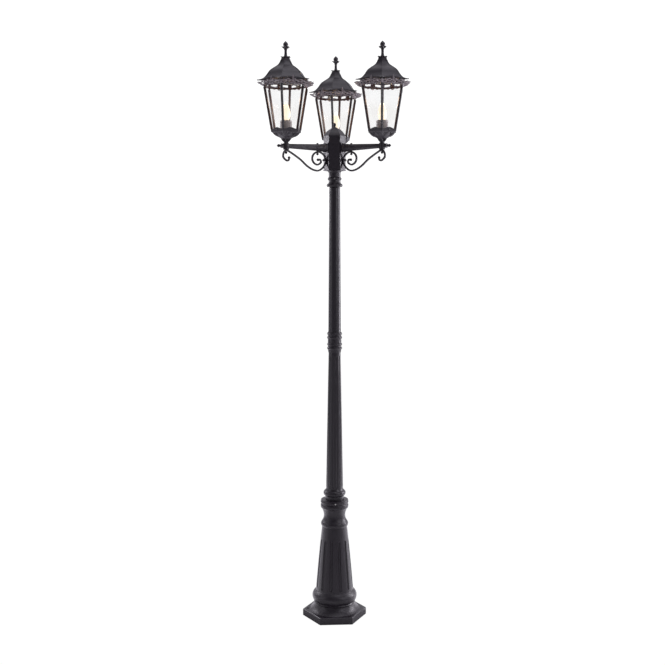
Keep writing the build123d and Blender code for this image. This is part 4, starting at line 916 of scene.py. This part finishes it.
def scroll_path():
    """Bar's middle line as distance from the post and height, from the small curl to the large one."""
    top, low, far, stud, hub = SEAT_LEVEL, LOW_LEVEL, ARM_LONG, STUD_OUT, HUB_OUT
    return smooth_through([
        (far - 13, top - 27.5), (far - 10.5, top - 37), (far - 0.5, top - 38), (far + 13, top - 24),
        (far + 9, top - 6), (far, top), (far - 14, top - 3.5), (far - 60, top - 31), (far - 91, top - 56),
        (far - 117, low + 3.5), (far - 142, low), (hub + 13, low + 11.5), (hub + 1.5, low + 28.5),
        (hub, top - 31.5), (hub + 5, top - 15), (hub + 19, top - 3.2), (stud, top), (stud + 17, top - 9),
        (stud + 24, top - 25), (stud + 18, top - 42), (stud + 1, top - 50.5), (stud - 15, top - 41),
        (stud - 11, top - 30), (stud - 2, top - 31)], 8)


BAR, bar_in, bar_out = new_tree(
    "bar_along_path", Wide="NodeSocketFloat", Thick="NodeSocketFloat", Edge="NodeSocketFloat",
    Button="NodeSocketFloat", Coat="NodeSocketMaterial")
line = joined_node(BAR, "GeometryNodeMeshToCurve", Mesh=bar_in.outputs["Geometry"])
level = joined_node(BAR, "GeometryNodeSetCurveNormal", {"mode": "Z_UP"}, Curve=line.outputs[0])
section = joined_node(BAR, "GeometryNodeCurvePrimitiveQuadrilateral", Width=bar_in.outputs["Thick"],
                      Height=bar_in.outputs["Wide"])
rounded = joined_node(BAR, "GeometryNodeFilletCurve", {"mode": "POLY"}, Curve=section.outputs[0],
                      Radius=bar_in.outputs["Edge"], Count=4)
bar = joined_node(BAR, "GeometryNodeCurveToMesh", Curve=level.outputs[0],
                  Profile_Curve=rounded.outputs[0], Fill_Caps=True)
ends = joined_node(BAR, "GeometryNodeCurveEndpointSelection", Start_Size=1, End_Size=1)
button = joined_node(BAR, "GeometryNodeMeshUVSphere", Segments=24, Rings=12,
                     Radius=bar_in.outputs["Button"])
buttons = joined_node(BAR, "GeometryNodeInstanceOnPoints", Points=level.outputs[0],
                      Selection=ends.outputs[0], Instance=button.outputs[0])
loose = joined_node(BAR, "GeometryNodeRealizeInstances", Geometry=buttons.outputs[0])
both = BAR.nodes.new("GeometryNodeJoinGeometry")
BAR.links.new(bar.outputs[0], both.inputs[0])
BAR.links.new(loose.outputs[0], both.inputs[0])
painted = joined_node(BAR, "GeometryNodeSetMaterial", Geometry=both.outputs[0],
                      Material=bar_in.outputs["Coat"])
BAR.links.new(painted.outputs[0], bar_out.inputs[0])

path = scroll_path()
scroll_line = bpy.data.meshes.new("scroll_line")
scroll_line.from_pydata([tuple(p) for p in path], [(k, k + 1) for k in range(len(path) - 1)], [])
scroll = run_tree(scroll_line, BAR, Wide=BAR_WIDE, Thick=BAR_THICK, Edge=BAR_EDGE, Button=BUTTON_RADIUS,
                  Coat=CAST)
scroll.transform(Matrix.Rotation(radians(90), 4, "X"))     # it was drawn flat and is stood up here
scroll = sharpened(scroll, 50)
for side, degrees_round in SIDES.items():
    keep_piece(f"scroll_bar_{side}", scroll.copy(), "post", CAST,
               Matrix.Rotation(radians(degrees_round), 4, "Z"), [f"scroll_{side}"])
print("scroll faces", len(scroll.polygons), "bar level", round(SEAT_LEVEL, 1), "to", round(LOW_LEVEL, 1))

# %% [markdown]
# ## Relief on the arms
#
# Each arm grows out of its root block between two acanthus leaves, one on each flat side of the bar. They are
# drawn for an arm along +X from the post's axis, at the height of its middle line, and turned to each side.

# %% Arm relief
ARM_LEVEL = middle("arm_tips").z / MM
HUB_SIDE = 38.5                 # from the post's axis to a side of the hub
BAR_SIDE = [(HUB_SIDE + 6, 17.2), (HUB_SIDE + 15, 16.3), (HUB_SIDE + 27, 13.6), (HUB_SIDE + 62, 12.9)]


def arm_leaf(hand):
    """Leaf that lies on a side of the bar, its root at the hub and its tip along the arm."""
    made = laid_on(leaf(52.0, 21.0, 2.4, 4), [(z, x) for x, z in BAR_SIDE])
    for vertex in made.vertices:
        out, across, along = vertex.co
        vertex.co = (along, hand * out, across * (-hand) + ARM_LEVEL)
    return made


arm_relief = sharpened(merged("arm_relief", [arm_leaf(1), arm_leaf(-1)]))
for side, degrees_round in SIDES.items():
    keep_piece(f"arm_leaves_{side}", arm_relief.copy(), "post", CAST,
               Matrix.Rotation(radians(degrees_round), 4, "Z"))
print("arm leaves at", round(ARM_LEVEL, 1), "mm, faces", len(arm_relief.polygons))

# %% [markdown]
# ## Coats on the CAD pieces
#
# Every piece of the CAD model gets the coat that it has on the real post. All that was cast is coated alike,
# so only the cages, roofs, tubes, glass, lamp parts and plated fasteners are named here.

# %% Dress the CAD nodes
COATS = {
    CAGE: ("cage",), TUBE: ("lower_shaft", "upper_shaft"), ROOF: ("roof",), PANE: ("glass",),
    BULB: ("bulb",), BRASS: ("bulb_cap",), HOLDER: ("lampholder",), BLOCK: ("terminal_block",),
    LEAD: ("lamp_leads",),
    DULL_STEEL: ("bridge", "nipple", "nipple_nuts", "neck_nut"),
    STEEL: ("base_set_screws", "neck_set_screws", "frieze_screws"),
}
coat_of = {kind: coat for coat, kinds in COATS.items() for kind in kinds}
for name, node in nodes.items():
    kind, _, last = name.rpartition("_")
    node.data.materials.clear()
    node.data.materials.append(coat_of.get(kind if last in SIDES else name, CAST))
print("dressed", len(nodes), "nodes with", len(COATS) + 1, "coats")

# %% [markdown]
# ## Studio
#
# The photograph is a cut-out on white: no shadow shows, but the floor keeps a faint one here. The white wall
# behind the post lights every surface that turns away from the camera, while the front of the room is dark,
# so the coat is black in front and pale towards its edges. A tall softbox stands on the right, which draws
# the bright streak down the right third of the shafts, and weaker ones on the left, in front and on top. The
# lit floor shines up under friezes, cups and arms. Each bulb lights its cage, and the side of the bars that
# faces it also carries a painted warm glow.

# %% Studio
COOL = (0.95, 0.92, 1.0, 1.0)
WHITE = (1.0, 1.0, 1.0, 1.0)
FLOOR_GREY = (0.8, 0.8, 0.8, 1.0)
FLOOR_REACH = 12.0
FLOOR_SHINE = 1.02
FLOOR_SHARE = 0.985             # share of the floor's own white that the camera sees, the rest is its shade
SEEN_WHITE = 1.12               # strength of the white seen behind the post
ROOM_FRONT = 0.17               # light from the front of the room, and what the wall behind adds
ROOM_BEHIND = 0.72
WALL_START, WALL_FADE = 0.15, 0.7
LAMP_WATTS = 0.2
LAMP_COLOUR = (1.0, 0.64, 0.38)
LAMP_RADIUS = 0.012
LAMP_ABOVE = 0.05               # the light stands above the flame's middle
SOFTBOXES = {                   # place, what it points at, width, height, watts
    "key_right": ((3.3, 1.1, 1.65), (0, 0, 1.65), 0.6, 2.2, 85.0),
    "rim_left": ((-3.0, 1.6, 2.2), (0, 0, 2.0), 0.6, 1.0, 30.0),
    "front_right": ((2.6, -2.2, 2.2), (0, 0, 1.4), 0.8, 1.6, 22.0),
    "fill_left": ((-3.2, -1.2, 1.6), (0, 0, 1.2), 1.2, 3.0, 16.0),
    "top": ((0.6, -0.8, 4.5), (0, 0, 1.6), 2.5, 2.5, 32.0),
    "floor_glow": ((0, 1.3, 0.02), (0, 1.3, 2.0), 5.0, 2.6, 46.0),
}


def white_stage():
    made = bpy.data.materials.new("stage_white")
    made.use_nodes = True
    tree = made.node_tree
    start = Shade(tree, tree.nodes.new("ShaderNodeLightPath").outputs["Is Camera Ray"])
    diffuse = start.add("ShaderNodeBsdfDiffuse", Color=FLOOR_GREY)
    glow = start.add("ShaderNodeEmission", Color=WHITE, Strength=FLOOR_SHINE)
    mix = tree.nodes.new("ShaderNodeMixShader")
    tree.links.new((start * FLOOR_SHARE).socket, mix.inputs[0])
    tree.links.new(diffuse.socket, mix.inputs[1])
    tree.links.new(glow.socket, mix.inputs[2])
    tree.links.new(mix.outputs[0], tree.nodes["Material Output"].inputs["Surface"])
    return made


floor_mesh = bpy.data.meshes.new("floor")
floor_corners = [(FLOOR_REACH * x, FLOOR_REACH * y, 0) for x, y in ((-1, -1), (1, -1), (1, 1), (-1, 1))]
floor_mesh.from_pydata(floor_corners, [], [(0, 1, 2, 3)])
floor = bpy.data.objects.new("floor", floor_mesh)
floor.data.materials.append(white_stage())
bpy.context.scene.collection.objects.link(floor)

world = bpy.data.worlds.new("world")
bpy.context.scene.world = world
world.use_nodes = True
world_tree = world.node_tree
sky = Shade(world_tree, world_tree.nodes.new("ShaderNodeLightPath").outputs["Is Camera Ray"])
direction = sky.add("ShaderNodeTexCoord")
way = sky.add("ShaderNodeSeparateXYZ", 1, Vector=direction)
behind = ((way + WALL_START) / WALL_FADE).clamp()
strength = sky * SEEN_WHITE + (1.0 - sky) * (ROOM_FRONT + behind * ROOM_BEHIND)
send(strength, world_tree.nodes["Background"], "Strength")
send(sky.blend(COOL, WHITE), world_tree.nodes["Background"], "Color")


def light_at(name, kind, place, watts, colour):
    """A light that the camera doesn't see."""
    data = bpy.data.lights.new(name, kind)
    data.energy = watts
    data.color = colour
    light = bpy.data.objects.new(name, data)
    light.location = place
    light.visible_camera = False
    bpy.context.scene.collection.objects.link(light)
    return light


for name, (place, aim, width, height, watts) in SOFTBOXES.items():
    box = light_at(name, "AREA", place, watts, COOL[:3])
    box.data.shape = "RECTANGLE"
    box.data.size, box.data.size_y = width, height
    box.rotation_euler = (Vector(aim) - Vector(place)).to_track_quat("-Z", "Y").to_euler()
for side, place in LANTERNS.items():
    above_flame = place @ Vector((0, 0, FLAME_HEIGHT + LAMP_ABOVE))
    lamp = light_at(f"lamp_{side}", "POINT", above_flame, LAMP_WATTS, LAMP_COLOUR)
    lamp.data.shadow_soft_size = LAMP_RADIUS
bpy.context.scene.view_settings.view_transform = "Standard"
print("studio ready")
